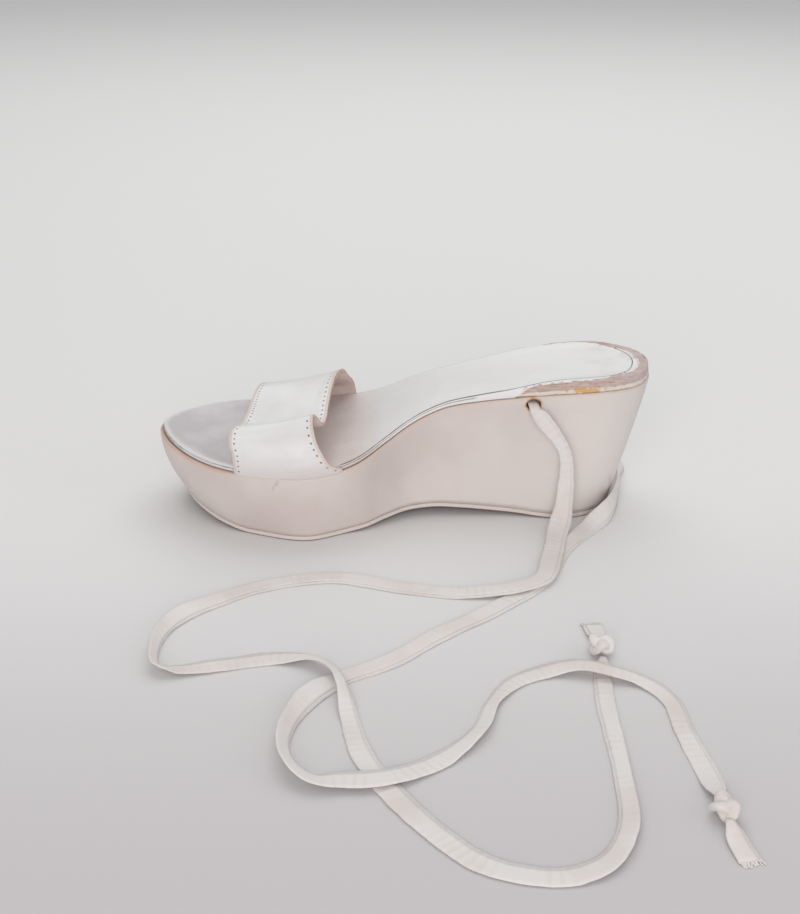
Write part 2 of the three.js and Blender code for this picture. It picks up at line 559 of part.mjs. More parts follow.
// Tape: a curve through the rows of a table, whose frames lay the tape's face as the rows say
class TapePath extends THREE.Curve {
  constructor(rows) {
    super();
    this.rows = rows;
    this.centre = new THREE.CatmullRomCurve3(rows.map((row) => {
      const roll = degToRad(row.roll);
      const standing = Math.abs(row.hang) > 0.5 ? 0 : Math.abs(Math.sin(roll)) * row.gather * tapeWidth;
      return new THREE.Vector3(row.x, row.y, row.lift + (standing + tapeThickness) / 2);
    }), false, 'centripetal');
  }

  getPoint(t, target) {
    return this.centre.getPoint(t, target);
  }

  getSpacedPoints(divisions) {
    return this.getPoints(divisions);
  }

  // Frames at even steps of the rows: the width's direction, scaled by gather, and the face's
  computeFrenetFrames(segments) {
    const frames = { tangents: [], normals: [], binormals: [] };
    const last = this.rows.length - 1;
    for (let i = 0; i <= segments; i += 1) {
      const place = (i / segments) * last;
      const row = Math.min(Math.floor(place), last - 1);
      const mixed = (column) => lerp(this.rows[row][column], this.rows[row + 1][column], place - row);
      const tangent = this.getTangent(i / segments);
      const hang = mixed('hang');
      const face = new THREE.Vector3(0, -hang, 1 - Math.abs(hang)).normalize();
      const width = face.cross(tangent).normalize();
      width.applyAxisAngle(tangent, degToRad(mixed('roll')));
      const thickness = new THREE.Vector3().crossVectors(tangent, width);
      frames.tangents.push(tangent);
      frames.normals.push(width.multiplyScalar(mixed('gather')));
      frames.binormals.push(thickness);
    }
    return frames;
  }
}

function tape(rows) {
  const section = new THREE.Shape();
  const half = { width: tapeWidth / 2, thickness: tapeThickness / 2 };
  const edge = tapeThickness / 2;
  section.setFromPoints([
    new THREE.Vector2(-half.width, -half.thickness / 2),
    new THREE.Vector2(-half.width + edge, -half.thickness),
    new THREE.Vector2(half.width - edge, -half.thickness),
    new THREE.Vector2(half.width, -half.thickness / 2),
    new THREE.Vector2(half.width, half.thickness / 2),
    new THREE.Vector2(half.width - edge, half.thickness),
    new THREE.Vector2(-half.width + edge, half.thickness),
    new THREE.Vector2(-half.width, half.thickness / 2),
  ]);
  return new THREE.ExtrudeGeometry(section, { steps: rows.length - 1, extrudePath: new TapePath(rows) });
}

// Knot: a rounded lump between the tape's end and its frayed tip
function knot(before, after) {
  const lump = new THREE.SphereGeometry(0.5, 14, 10);
  lump.scale(knotLength - 2 * gap, knotWidth, knotHeight);
  lump.rotateZ(Math.atan2(after.y - before.y, after.x - before.x));
  return lump.translate((before.x + after.x) / 2, (before.y + after.y) / 2, knotHeight / 2);
}

// Solids, and what is cut out of them
function toSolid(geometry) {
  const bare = geometry.clone();
  bare.deleteAttribute('normal');
  bare.deleteAttribute('uv');
  const merged = mergeVertices(bare, 1e-5);
  return new wasm.Manifold(new wasm.Mesh({
    numProp: 3,
    vertProperties: new Float32Array(merged.attributes.position.array),
    triVerts: new Uint32Array(merged.index.array),
  }));
}

function toGeometry(solid) {
  const mesh = solid.getMesh();
  return meshOf(Array.from(mesh.vertProperties), [Array.from(mesh.triVerts)]);
}

function cut(geometry, ...cutters) {
  return toGeometry(cutters.reduce((solid, cutter) => solid.subtract(toSolid(cutter)), toSolid(geometry)));
}

// Materials: colour, roughness, metalness
const looks = {
  whiteLeather: new THREE.MeshStandardMaterial({ color: 0xe4e0dd, roughness: 0.45, metalness: 0 }),
  platformLeather: new THREE.MeshStandardMaterial({ color: 0xb9a9a4, roughness: 0.55, metalness: 0 }),
  fibreboard: new THREE.MeshStandardMaterial({ color: 0x96705f, roughness: 0.9, metalness: 0 }),
  darkRubber: new THREE.MeshStandardMaterial({ color: 0x4a3a36, roughness: 0.7, metalness: 0 }),
  cotton: new THREE.MeshStandardMaterial({ color: 0xd2c9c4, roughness: 0.95, metalness: 0 }),
};

const shoe = new THREE.Group();
const tie = new THREE.Group();

function add(group, name, geometry, look) {
  const mesh = new THREE.Mesh(geometry, look);
  mesh.name = name;
  group.add(mesh);
}

add(shoe, 'outsole', outsole(), looks.darkRubber);
add(shoe, 'platform', cut(platform(), tunnelCutter(), strap(gap)), looks.platformLeather);
add(shoe, 'insole_board', insoleBoard(), looks.fibreboard);
add(shoe, 'insole_cover', insoleCover(), looks.whiteLeather);
add(shoe, 'vamp_strap', strap(0), looks.whiteLeather);
add(tie, 'tie_lateral', tape(lateralTape), looks.cotton);
add(tie, 'tie_medial', tape(medialTape), looks.cotton);
add(tie, 'tie_lateral_knot', knot(lateralTape.at(-1), lateralTip[0]), looks.cotton);
add(tie, 'tie_medial_knot', knot(medialTape.at(-1), medialTip[0]), looks.cotton);
add(tie, 'tie_lateral_tip', tape(lateralTip), looks.cotton);
add(tie, 'tie_medial_tip', tape(medialTip), looks.cotton);

// The origin lies under the middle of the shoe's own box, without the tie
const box = new THREE.Box3().setFromObject(shoe);
const middle = box.getCenter(new THREE.Vector3());
shoe.position.set(-middle.x, -middle.y, -box.min.z);

const sandal = new THREE.Group();
sandal.add(shoe, tie);

export default sandal;
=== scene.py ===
from math import pi, radians

import bmesh
import bpy
import numpy as np
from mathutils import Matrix, Vector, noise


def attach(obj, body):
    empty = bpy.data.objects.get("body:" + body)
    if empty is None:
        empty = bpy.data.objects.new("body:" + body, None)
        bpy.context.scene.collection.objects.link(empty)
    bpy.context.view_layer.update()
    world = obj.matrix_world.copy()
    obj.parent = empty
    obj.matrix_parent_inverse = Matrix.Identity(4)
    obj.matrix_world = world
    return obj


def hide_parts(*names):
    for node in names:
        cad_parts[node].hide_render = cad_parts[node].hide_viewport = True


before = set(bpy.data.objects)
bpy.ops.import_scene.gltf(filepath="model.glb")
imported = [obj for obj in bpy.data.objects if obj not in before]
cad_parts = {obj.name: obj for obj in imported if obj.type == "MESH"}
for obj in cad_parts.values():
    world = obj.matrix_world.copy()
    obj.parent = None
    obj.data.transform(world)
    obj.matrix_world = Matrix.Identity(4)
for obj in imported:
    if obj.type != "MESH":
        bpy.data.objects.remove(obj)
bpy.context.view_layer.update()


# Camera: the photograph looks down on the outer side of the sandal, turned a little to its
# front, from about two thirds of a metre.
camera = bpy.data.objects.new("camera", bpy.data.cameras.new("camera"))
camera.data.lens = 59.08
camera.location = (-0.0369, -0.6648, 0.3172)
camera.rotation_euler = (radians(66.05), 0, radians(-3.03))
bpy.context.scene.collection.objects.link(camera)
bpy.context.scene.camera = camera


# Tie: one soft cotton tape, folded lengthwise, that runs through the heel and lies in loose
# loops on the floor. Each half is washed and limp, and ends in an overhand knot and a fray.
# The rows are the part's own: centre line, lift of the lowest edge, hang, roll, gather.
TAPE_WIDTH = 0.0095
TAPE_THICKNESS = 0.0012
TAPE_LAYER = 0.0004
TAPE_STEPS = 12

LATERAL_TAPE = (
    (0.0588, -0.0004, 0.0576, 0, 0, 0.5), (0.0588, -0.0274, 0.0576, 0.1, 0, 0.5),
    (0.0594, -0.0315, 0.0561, 0.6, 0, 0.55), (0.0625, -0.0335, 0.0525, 1, 0, 0.8),
    (0.0728, -0.035, 0.037, 1, 10, 0.55), (0.0739, -0.0357, 0.02, 1, 18, 0.75),
    (0.0723, -0.0385, 0.006, 0.8, 5, 1), (0.0696, -0.045, 0.002, 0.2, 0, 1),
    (0.0639, -0.0676, 0.0019, 0, 0, 0.95), (0.0561, -0.0906, 0.0018, 0, 0, 0.95),
    (0.0452, -0.0973, 0.0018, 0, 0, 0.95), (0.0332, -0.0994, 0.0012, 0, 0, 1),
    (0.0147, -0.0982, 0, 0, 0, 1), (-0.0066, -0.0922, 0, 0, 0, 1),
    (-0.0347, -0.082, 0, 0, 0, 1), (-0.0653, -0.0877, 0, 0, 0, 1),
    (-0.0873, -0.1021, 0, 0, -10, 0.9), (-0.099, -0.1142, 0, 0, -35, 0.78),
    (-0.1059, -0.1285, 0, 0, -55, 0.7), (-0.1076, -0.1448, 0, 0, -65, 0.7),
    (-0.1055, -0.1547, 0, 0, -45, 0.75), (-0.0982, -0.1554, 0, 0, -10, 0.9),
    (-0.0831, -0.1523, 0, 0, 0, 1), (-0.0575, -0.148, 0, 0, 0, 1),
    (-0.0427, -0.1534, 0.0016, 0, -20, 0.7), (-0.0357, -0.1632, 0.0019, 0, -35, 0.55),
    (-0.0328, -0.1753, 0.0019, 0, -25, 0.55), (-0.0306, -0.1922, 0.0002, 0, 0, 0.75),
    (-0.0261, -0.2169, 0, 0, 0, 0.9), (-0.0168, -0.2386, 0, 0, 0, 1),
    (-0.0029, -0.2616, 0, 0, 0, 1), (0.0105, -0.2771, 0, 0, 0, 1),
    (0.0249, -0.2838, 0, 0, 0, 1), (0.0382, -0.2849, 0, 0, 0, 1),
    (0.0508, -0.2793, 0, 0, -10, 1), (0.0604, -0.2629, 0, 0, -20, 0.8),
    (0.0643, -0.2319, 0, 0, -10, 0.65), (0.0667, -0.1849, 0, 0, 0, 0.8),
    (0.0693, -0.164, 0.0002, 0, 0, 0.7), (0.0707, -0.1565, 0.0015, 0, 0, 0.6),
)
MEDIAL_TAPE = (
    (0.0588, 0.0004, 0.0576, 0, 0, 0.5), (0.0588, 0.0298, 0.0576, -0.1, 0, 0.5),
    (0.059, 0.0345, 0.0559, -0.6, 0, 0.52), (0.0598, 0.037, 0.05, -1, 0, 0.7),
    (0.066, 0.0385, 0.023, -1, 0, 0.95), (0.07, 0.04, 0.009, -0.8, 0, 1),
    (0.077, 0.044, 0.0015, -0.2, 0, 1), (0.094, 0.046, 0, 0, 0, 1),
    (0.1115, 0.032, 0, 0, -55, 1), (0.1085, 0.0134, 0, 0, -80, 1),
    (0.1043, -0.0066, 0, 0, -85, 1), (0.0965, -0.0281, 0, 0, -70, 1),
    (0.0844, -0.041, 0, 0, -8, 0.95), (0.0697, -0.0604, 0, 0, 0, 0.9),
    (0.0554, -0.09, 0, 0, 0, 0.95), (0.0303, -0.115, 0, 0, 0, 1),
    (0.0077, -0.1328, 0, 0, 0, 1), (-0.0138, -0.1526, 0, 0, 0, 1),
    (-0.0331, -0.1641, 0, 0, 0, 1), (-0.044, -0.1766, 0, 0, -25, 1),
    (-0.0517, -0.1929, 0, 0, -50, 0.85), (-0.0551, -0.2092, 0, 0, -55, 0.85),
    (-0.0524, -0.2227, 0, 0, -45, 1), (-0.0447, -0.2315, 0.0006, 0, -20, 1),
    (-0.0342, -0.2324, 0.0018, 0, 0, 1), (-0.0192, -0.2317, 0.0018, 0, 0, 1),
    (0.0002, -0.2208, 0, 0, 0, 1), (0.0166, -0.2038, 0, 0, -25, 0.8),
    (0.0238, -0.1849, 0, 0, -15, 0.6), (0.034, -0.1705, 0, 0, 0, 0.85),
    (0.0479, -0.1636, 0.0004, 0, 0, 1), (0.0604, -0.1638, 0.0029, 0, 0, 0.9),
    (0.0722, -0.1688, 0.0029, 0, 0, 0.75), (0.0843, -0.1741, 0.0006, 0, 0, 0.8),
    (0.0917, -0.1869, 0, 0, 0, 0.75), (0.0925, -0.2069, 0, 0, 0, 0.8),
    (0.095, -0.236, 0, 0, 0, 0.95), (0.0945, -0.25, 0.0028, 0, 0, 0.6),
)
LATERAL_TIP = (
    (0.0713, -0.1438, 0.003, 0, 0, 0.6), (0.0715, -0.1375, 0.0009, 0, 0, 0.8),
    (0.0712, -0.1295, 0.0004, 0, 0, 0.85),
)
MEDIAL_TIP = (
    (0.0946, -0.2629, 0.003, 0, 0, 0.6), (0.0956, -0.2715, 0.0007, 0, 0, 0.8),
    (0.0972, -0.281, 0, 0, 0, 0.85),
)
LATERAL_HOLE = (0.0590, -0.0290, 0.0580)
MEDIAL_HOLE = (0.0588, 0.0290, 0.0582)


def smooth_line(points, steps, closed=False):
    """A centripetal Catmull-Rom curve through points, with steps to each span."""
    points = np.asarray(points, float)
    if closed:
        line = np.vstack([points[-1:], points, points[:2]])
    else:
        line = np.vstack([2 * points[0] - points[1], points, 2 * points[-1] - points[-2]])
    curve = []
    share = np.arange(steps)[:, None] / steps
    for before, start, end, after in zip(line, line[1:], line[2:], line[3:]):
        reach = [max(np.linalg.norm(b - a), 1e-9) ** 0.5
                 for a, b in ((before, start), (start, end), (end, after))]
        leave = ((start - before) / reach[0] - (end - before) / (reach[0] + reach[1])
                 + (end - start) / reach[1]) * reach[1]
        arrive = ((end - start) / reach[1] - (after - start) / (reach[1] + reach[2])
                  + (after - end) / reach[2]) * reach[1]
        curve.append(start * (2 * share**3 - 3 * share**2 + 1)
                     + leave * (share**3 - 2 * share**2 + share)
                     + end * (3 * share**2 - 2 * share**3) + arrive * (share**3 - share**2))
    curve.append(line[-2:-1] if not closed else line[1:2])
    return np.vstack(curve)


def unit(vectors):
    return vectors / np.linalg.norm(vectors, axis=-1, keepdims=True)


def tape_run(rows, steps):
    """The tape's centre line, and the directions of its width and of its face along it."""
    rows = np.array(rows)
    hang, roll, gather = rows[:, 3], np.radians(rows[:, 4]), rows[:, 5]
    standing = np.where(np.abs(hang) > 0.5, 0, np.abs(np.sin(roll)) * gather * TAPE_WIDTH)
    heights = rows[:, 2] + (standing + TAPE_THICKNESS) / 2
    centre = smooth_line(np.column_stack([rows[:, 0], rows[:, 1], heights]), steps)
    place = np.arange(len(centre)) / steps
    ease = np.hanning(steps + 1) / np.hanning(steps + 1).sum()

    def eased(column):
        fine = np.interp(place, np.arange(len(rows)), column)
        wide = np.pad(fine, steps // 2, mode="edge")
        return np.convolve(wide, ease, mode="valid")[:len(fine)]

    hang, roll, gather = eased(hang), eased(roll), eased(gather)
    tangent = unit(np.gradient(centre, axis=0))
    face = unit(np.column_stack([np.zeros(len(hang)), -hang, 1 - np.abs(hang)]))
    width = unit(np.cross(face, tangent))
    width = (width * np.cos(roll)[:, None] + np.cross(tangent, width) * np.sin(roll)[:, None])
    return centre, width, np.cross(tangent, width), gather


def laid_sheet(points, **measures):
    """A flat sheet whose grid of vertices is laid on points, with its measures as attributes."""
    lengthwise, crosswise = points.shape[0] - 1, points.shape[1] - 1
    sheet = bmesh.new()
    layers = {name: sheet.verts.layers.float.new(name) for name in measures}
    bmesh.ops.create_grid(sheet, x_segments=lengthwise, y_segments=crosswise, size=1)
    for vertex in sheet.verts:
        i = round((vertex.co.x + 1) / 2 * lengthwise)
        j = round((vertex.co.y + 1) / 2 * crosswise)
        vertex.co = points[i, j]
        for name, layer in layers.items():
            vertex[layer] = float(measures[name][i, j])
    return sheet


def finished(name, shape, materials, closed=True, nodes=()):
    """Makes the object of a bmesh: its seams merged, shaded smooth, riding on the sandal."""
    if closed:
        bmesh.ops.remove_doubles(shape, verts=shape.verts, dist=2e-6)
        bmesh.ops.recalc_face_normals(shape, faces=shape.faces)
    mesh = bpy.data.meshes.new(name)
    shape.to_mesh(mesh)
    shape.free()
    mesh.shade_smooth()
    for material in materials:
        mesh.materials.append(material)
    piece = bpy.data.objects.new(name, mesh)
    bpy.context.scene.collection.objects.link(piece)
    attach(piece, "root")
    if nodes:
        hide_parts(*nodes)
    return piece


def linear(code):
    """An sRGB hex colour in linear light."""
    channels = [int(code[i:i + 2], 16) / 255 for i in (1, 3, 5)]
    return [*(c / 12.92 if c <= 0.04045 else ((c + 0.055) / 1.055) ** 2.4 for c in channels), 1]


def node(material, kind, inputs, out=0, **settings):
    """Adds a shader node with its settings and its inputs' values or links; gives one output."""
    made = material.node_tree.nodes.new("ShaderNode" + kind)
    for name, value in settings.items():
        setattr(made, name, value)
    for socket, value in inputs.items() if isinstance(inputs, dict) else enumerate(inputs):
        if isinstance(value, bpy.types.NodeSocket):
            material.node_tree.links.new(value, made.inputs[socket])
        else:
            made.inputs[socket].default_value = value
    return made.outputs[out]


# A range read with eased ends, and a mix of two colours
EASED = {"interpolation_type": "SMOOTHSTEP"}
COLOUR_MIX = {"out": 2, "data_type": "RGBA"}


def new_material(name, **shader):
    """A material whose shader has the given constant inputs, and the place on the object."""
    material = bpy.data.materials.new(name)
    material.use_nodes = True
    skin = material.node_tree.nodes["Principled BSDF"]
    for socket, value in shader.items():
        skin.inputs[socket.replace("_", " ")].default_value = value
    return material, skin, node(material, "TexCoord", {}, out="Object")


def link(material, value, socket):
    material.node_tree.links.new(value, socket)


# Cotton, woven plain and left matt: crossed threads, which are finer than a pixel and so are
# drawn 0.9 mm apart, puckers every few millimetres with painted shade in bands along them, and a
# pink-grey cast in patches.
# A noise's scale is one over the size of its patches in metres, here and in each finish below.
THREADS = 0.0009
PUCKERS = 0.0036
cotton, skin, place = new_material("washed_cotton", Roughness=0.92, Sheen_Weight=0.25,
                                   Sheen_Roughness=0.5, Specular_IOR_Level=0.3)
along = node(cotton, "Attribute", {}, out="Fac", attribute_name="along")
across = node(cotton, "Attribute", {}, out="Fac", attribute_name="across")
warp = node(cotton, "Math",
    (node(cotton, "Math", (along, 2 * pi / THREADS), operation="MULTIPLY"),), operation="SINE")
weft = node(cotton, "Math",
    (node(cotton, "Math", (across, 2 * pi / THREADS), operation="MULTIPLY"),), operation="SINE")
weave = node(cotton, "Math", (warp, weft), operation="MULTIPLY")
wander = node(cotton, "Math", (node(cotton, "TexNoise", {"Vector": place, "Scale": 1 / 0.012}), 5),
    operation="MULTIPLY")
pucker = node(cotton, "Math", (node(cotton, "Math",
    (node(cotton, "Math", (along, 2 * pi / PUCKERS), operation="MULTIPLY"), wander),
    operation="ADD"),), operation="SINE")
strength = node(cotton, "MapRange",
    (node(cotton, "TexNoise", {"Vector": place, "Scale": 1 / 0.02}), 0.4, 0.65), **EASED)
pucker = node(cotton, "Math", (pucker, strength), operation="MULTIPLY")
pink_patches = node(cotton, "MapRange",
    (node(cotton, "TexNoise", {"Vector": place, "Scale": 1 / 0.03, "Detail": 3}), 0.42, 0.68),
    **EASED)
colour = node(cotton, "Mix", {0: pink_patches, 6: linear("#dfdcda"), 7: linear("#d8d0cc")}, **COLOUR_MIX)
# Painted shade: the tape is darker in bands along its puckers, standing for the shade in their
# folds.
colour = node(cotton, "Mix", {0: node(cotton, "MapRange", (pucker, -0.2, 1, 0, 0.18), **EASED),
    6: colour, 7: linear("#cfc0b8")}, **COLOUR_MIX)
link(cotton, colour, skin.inputs["Base Color"])
relief = node(cotton, "Math", (node(cotton, "Math", (weave, 0.35), operation="MULTIPLY"), pucker),
    operation="ADD")
link(cotton, node(cotton, "Bump", {"Height": relief, "Strength": 0.4, "Distance": 0.00016}),
    skin.inputs["Normal"])

# Across the folded tape, once round its section: share of half the width, share of the layer gap
FOLDED_SECTION = (
    (1.00, -1.0), (0.62, -1.0), (0.20, -1.0), (-0.25, -1.0), (-0.70, -1.0), (-0.94, -0.8),
    (-1.00, 0.0), (-0.94, 0.8), (-0.70, 1.0), (-0.25, 1.0), (0.10, 1.0), (0.42, 1.0),
    (0.66, 1.0),
)
# How narrow the tape is drawn in beside a knot, and over what length
DRAWN_IN = 0.45
DRAWN_OVER = 0.006
# The knot: half sizes of its loop, half width and half thickness of its strand, its height
KNOT_LOOP = (0.0015, 0.00105, 0.0013)
KNOT_STRAND = (0.0026, 0.0015)
KNOT_HEIGHT = 0.0040
# The fray: how many loose threads, the half width they leave from, their radius
FRAY_THREADS = 17
FRAY_HALF_WIDTH = 0.0036
FRAY_RADIUS = 0.00016
TIP_STEPS = 6


def lay_tape(rows, steps=TAPE_STEPS, knot_at_start=False):
    """The folded tape laid along its rows, with an edge that wavers and a fold that gapes."""
    centre, width, face, gather = tape_run(rows, steps)
    run = np.concatenate([[0], np.cumsum(np.linalg.norm(np.diff(centre, axis=0), axis=1))])
    from_knot = run if knot_at_start else run[-1] - run
    gather = gather * np.interp(from_knot, (0, DRAWN_OVER), (DRAWN_IN, 1))
    points = np.zeros((len(centre), len(FOLDED_SECTION), 3))
    across = np.zeros(points.shape[:2])
    for i, middle in enumerate(centre):
        waver = (noise.noise(Vector((run[i] * 90, 3.1, len(rows))))
                 + noise.noise(Vector((run[i] * 280, 5.5, 0))))
        gape = 1 + 0.7 * max(0, noise.noise(Vector((run[i] * 60, 7.7, len(rows)))))
        for j, (side, layer) in enumerate(FOLDED_SECTION):
            off = side * (1 + 0.07 * waver * abs(side)) * gather[i] * TAPE_WIDTH / 2
            lift = layer * TAPE_LAYER * 0.5 * (gape if side > 0 and layer > 0 else 1)
            points[i, j] = middle + width[i] * off + face[i] * lift
            across[i, j] = off
    points[..., 2] = np.maximum(points[..., 2], TAPE_LAYER * 0.6)
    sheet = laid_sheet(points, along=np.repeat(run[:, None], across.shape[1], 1), across=across)
    return sheet, centre, run[-1]


def knotted_end(start, tip):
    """An overhand knot pulled tight in the tape, as a flattened trefoil between two points."""
    start, tip = np.array(start[:3]), np.array(tip[:3])
    turn = np.linspace(0, 2 * pi, 97)
    heading = unit(tip[:2] - start[:2])
    middle = (start[:2] + tip[:2]) / 2
    loop = np.column_stack([np.sin(turn) + 2 * np.sin(2 * turn),
                            np.cos(turn) - 2 * np.cos(2 * turn), -1.1 * np.sin(3 * turn)])
    loop *= KNOT_LOOP
    tangent = unit(np.gradient(loop, axis=0))
    face = unit(np.cross(tangent, loop * (1, 1, 0.2)))
    side = np.cross(face, tangent)
    around = np.linspace(0, 2 * pi, 15)
    ring = (side[:, None] * np.cos(around)[None, :, None] * KNOT_STRAND[0]
            + face[:, None] * np.sin(around)[None, :, None] * KNOT_STRAND[1])
    local = loop[:, None] + ring
    points = np.stack([middle[0] + local[..., 0] * heading[0] - local[..., 1] * heading[1],
                       middle[1] + local[..., 0] * heading[1] + local[..., 1] * heading[0],
                       KNOT_HEIGHT + local[..., 2]], axis=-1)
    run = np.repeat((turn * 0.006)[:, None], 15, 1)
    return laid_sheet(points, along=run, across=np.repeat((around * 0.0015)[None, :], 97, 0))


def frayed_tip(rows):
    """The tape's last centimetre, with the loose ends of its lengthwise threads."""
    sheet, centre, run = lay_tape(rows, TIP_STEPS, knot_at_start=True)
    heading = unit(centre[-1] - centre[-3])
    side = unit(np.cross(heading, (0, 0, 1)))
    for thread in range(FRAY_THREADS):
        spread = (thread / (FRAY_THREADS - 1) - 0.5) * 2
        root = centre[-1] + side * spread * FRAY_HALF_WIDTH - heading * 0.0008
        bend = noise.noise(Vector((thread * 1.7, 0.4, run))) * 0.0035
        reach = 0.0022 + 0.0024 * abs(noise.noise(Vector((thread * 2.3, 5.2, run))))
        share = np.linspace(0, 1, 5)[:, None]
        line = root + heading * share * reach + side * (spread * 0.0006 + bend) * share**2
        line[:, 2] = np.maximum(line[:, 2] - 0.0006 * share[:, 0] ** 2, 0.0002)
        around = np.linspace(0, 2 * pi, 5)
        ring = side * np.cos(around)[:, None] + np.array((0, 0, 1)) * np.sin(around)[:, None]
        strand = laid_sheet(line[:, None] + ring[None] * FRAY_RADIUS,
                            along=np.zeros((5, 5)), across=np.zeros((5, 5)))
        bmesh.ops.remove_doubles(strand, verts=strand.verts, dist=1e-6)
        loose = bpy.data.meshes.new("strand")
        strand.to_mesh(loose)
        strand.free()
        sheet.from_mesh(loose)
        bpy.data.meshes.remove(loose)
    return sheet


def cloth(piece, thickness):
    """Gives a sheet of cloth its thickness."""
    wall = piece.modifiers.new("thickness", "SOLIDIFY")
    wall.thickness = thickness
    wall.offset = 0


for half, rows, tip_rows, hole in (("lateral", LATERAL_TAPE, LATERAL_TIP, LATERAL_HOLE),
                                   ("medial", MEDIAL_TAPE, MEDIAL_TIP, MEDIAL_HOLE)):
    sheet, centre, _ = lay_tape(rows)
    tape = finished(f"{half}_tape", sheet, [cotton], closed=False, nodes=[f"tie_{half}"])
    cloth(tape, TAPE_LAYER)
    knot = finished(f"{half}_knot", knotted_end(rows[-1], tip_rows[0]), [cotton],
                    nodes=[f"tie_{half}_knot"])
    tip = finished(f"{half}_tip", frayed_tip(tip_rows), [cotton], closed=False,
                   nodes=[f"tie_{half}_tip"])
    cloth(tip, TAPE_LAYER)


# Platform: a light cork or foam block wrapped in one thin skin of smooth leather, pulled down
# over the side and glued under. Its top edge stands out a little all round the toe and is
# rubbed to the tan of the bare hide there. A punched tunnel for the tie crosses the heel.
SHOE_LENGTH = 0.232
BALL_WIDTH = 0.094
BALL_HEIGHT = 0.0356
TOE_RISE = 0.0035
HEEL_RISE = 0.0349
ARCH_LIFT = 0.0044
TOE_SPRING = 0.007
OUTSOLE_THICKNESS = 0.0022
TOE_UNDERCUT = 0.009
HEEL_UNDERCUT = 0.016
BOARD_AT_TOE = 0.0014
BOARD_AT_HEEL = 0.0048
COVER_THICKNESS = 0.0008
STRAP_WALL = 0.0018
GAP = 0.0003
TOP_EDGE = 0.0007
TUNNEL = {"x": 0.058, "width": 0.0068, "height": 0.005, "roof": 0.0012}
SHIFT = (0.00076, -0.00096)

INSOLE_PLAN = (
    (0, 0.22), (0.012, -0.06), (0.042, -0.35), (0.085, -0.6), (0.144, -0.8), (0.22, -0.93),
    (0.29, -0.97), (0.347, -0.935), (0.398, -0.84), (0.45, -0.635), (0.5, -0.485), (0.56, -0.43),
    (0.64, -0.455), (0.74, -0.52), (0.86, -0.57), (0.925, -0.53), (0.968, -0.4), (0.992, -0.19),
    (1, 0.04), (0.988, 0.27), (0.953, 0.46), (0.903, 0.59), (0.84, 0.62), (0.755, 0.6),
    (0.67, 0.56), (0.585, 0.55), (0.52, 0.62), (0.458, 0.725), (0.395, 0.87), (0.322, 0.985),
    (0.245, 1), (0.17, 0.975), (0.1, 0.86), (0.05, 0.66), (0.015, 0.44),
)
INSOLE_PROFILE = (
    (0, 1, 0), (0.06, 0.5, 0), (0.12, 0.2, 0), (0.2, 0.03, 0),
    (0.27, 0, 0), (0.33, 0, 0.025), (0.37, 0, 0.068), (0.415, 0, 0.156),
    (0.46, 0, 0.283), (0.5, 0, 0.419), (0.54, 0, 0.55), (0.585, 0, 0.663),
    (0.65, 0, 0.765), (0.71, 0, 0.849), (0.78, 0, 0.931), (0.85, 0, 0.98),
    (0.93, 0, 1), (1, 0, 1),
)
SOLE_PROFILE = (
    (0.02, 1, 0), (0.06, 0.7, 0), (0.12, 0.3, 0), (0.16, 0.06, 0),
    (0.18, 0, 0), (0.35, 0, 0), (0.41, 0, 0.25), (0.46, 0, 0.66),
    (0.51, 0, 0.92), (0.56, 0, 1), (0.61, 0, 0.87), (0.67, 0, 0.6),
    (0.73, 0, 0.3), (0.78, 0, 0.08), (0.82, 0, 0), (1, 0, 0),
)
WALL_SHAPE = (
    (0, 0.12, 2, 1), (0.15, 0.12, 1.8, 1), (0.28, 0.06, 1.5, 1),
    (0.38, 0.14, 1.4, 1), (0.5, 0, 1.3, 0.5), (0.62, 0.02, 1.3, 0.25),
    (0.75, 0.08, 1.2, 0.2), (0.86, 0.01, 1.2, 0.15), (1, 0.06, 1.1, 0.15),
)


def read(table, column, at):
    """Smooth reading of a table's column at shares of the length, with no overshoot."""
    rows = np.array(table)
    place, value = rows[:, 0], rows[:, column]
    at = np.clip(at, place[0], place[-1])
    width = np.diff(place)
    slope = np.diff(value) / width
    product = slope[:-1] * slope[1:]
    total = slope[:-1] + slope[1:]
    inner = np.where(product > 0, 2 * product / np.where(total == 0, 1, total), 0)
    tangent = np.concatenate([slope[:1], inner, slope[-1:]])
    row = np.clip(np.searchsorted(place, at, side="right") - 1, 0, len(width) - 1)
    t = (at - place[row]) / width[row]
    rest = 1 - t
    return (value[row] * rest**2 * (1 + 2 * t) + value[row + 1] * t**2 * (3 - 2 * t)
            + width[row] * t * rest * (tangent[row] * rest - tangent[row + 1] * t))


def eased_step(value, start, end):
    share = np.clip((value - start) / (end - start), 0, 1)
    return share * share * (3 - 2 * share)


def along_at(x):
    return (x - SHIFT[0]) / SHOE_LENGTH + 0.5


def insole_top(x):
    return BALL_HEIGHT + TOE_RISE * read(INSOLE_PROFILE, 1, along_at(x)) + HEEL_RISE * read(
        INSOLE_PROFILE, 2, along_at(x))


def board_bottom(x):
    board = BOARD_AT_TOE + (BOARD_AT_HEEL - BOARD_AT_TOE) * eased_step(along_at(x), 0.55, 0.85)
    return insole_top(x) - COVER_THICKNESS - GAP - board


def sole_bottom(x):
    return TOE_SPRING * read(SOLE_PROFILE, 1, along_at(x)) + ARCH_LIFT * read(
        SOLE_PROFILE, 2, along_at(x))


plan = np.array(INSOLE_PLAN)
plan_line = smooth_line(np.column_stack([
    (plan[:, 0] - 0.5) * SHOE_LENGTH + SHIFT[0],
    plan[:, 1] * BALL_WIDTH / 2 + SHIFT[1]]), 12, closed=True)[:-1]


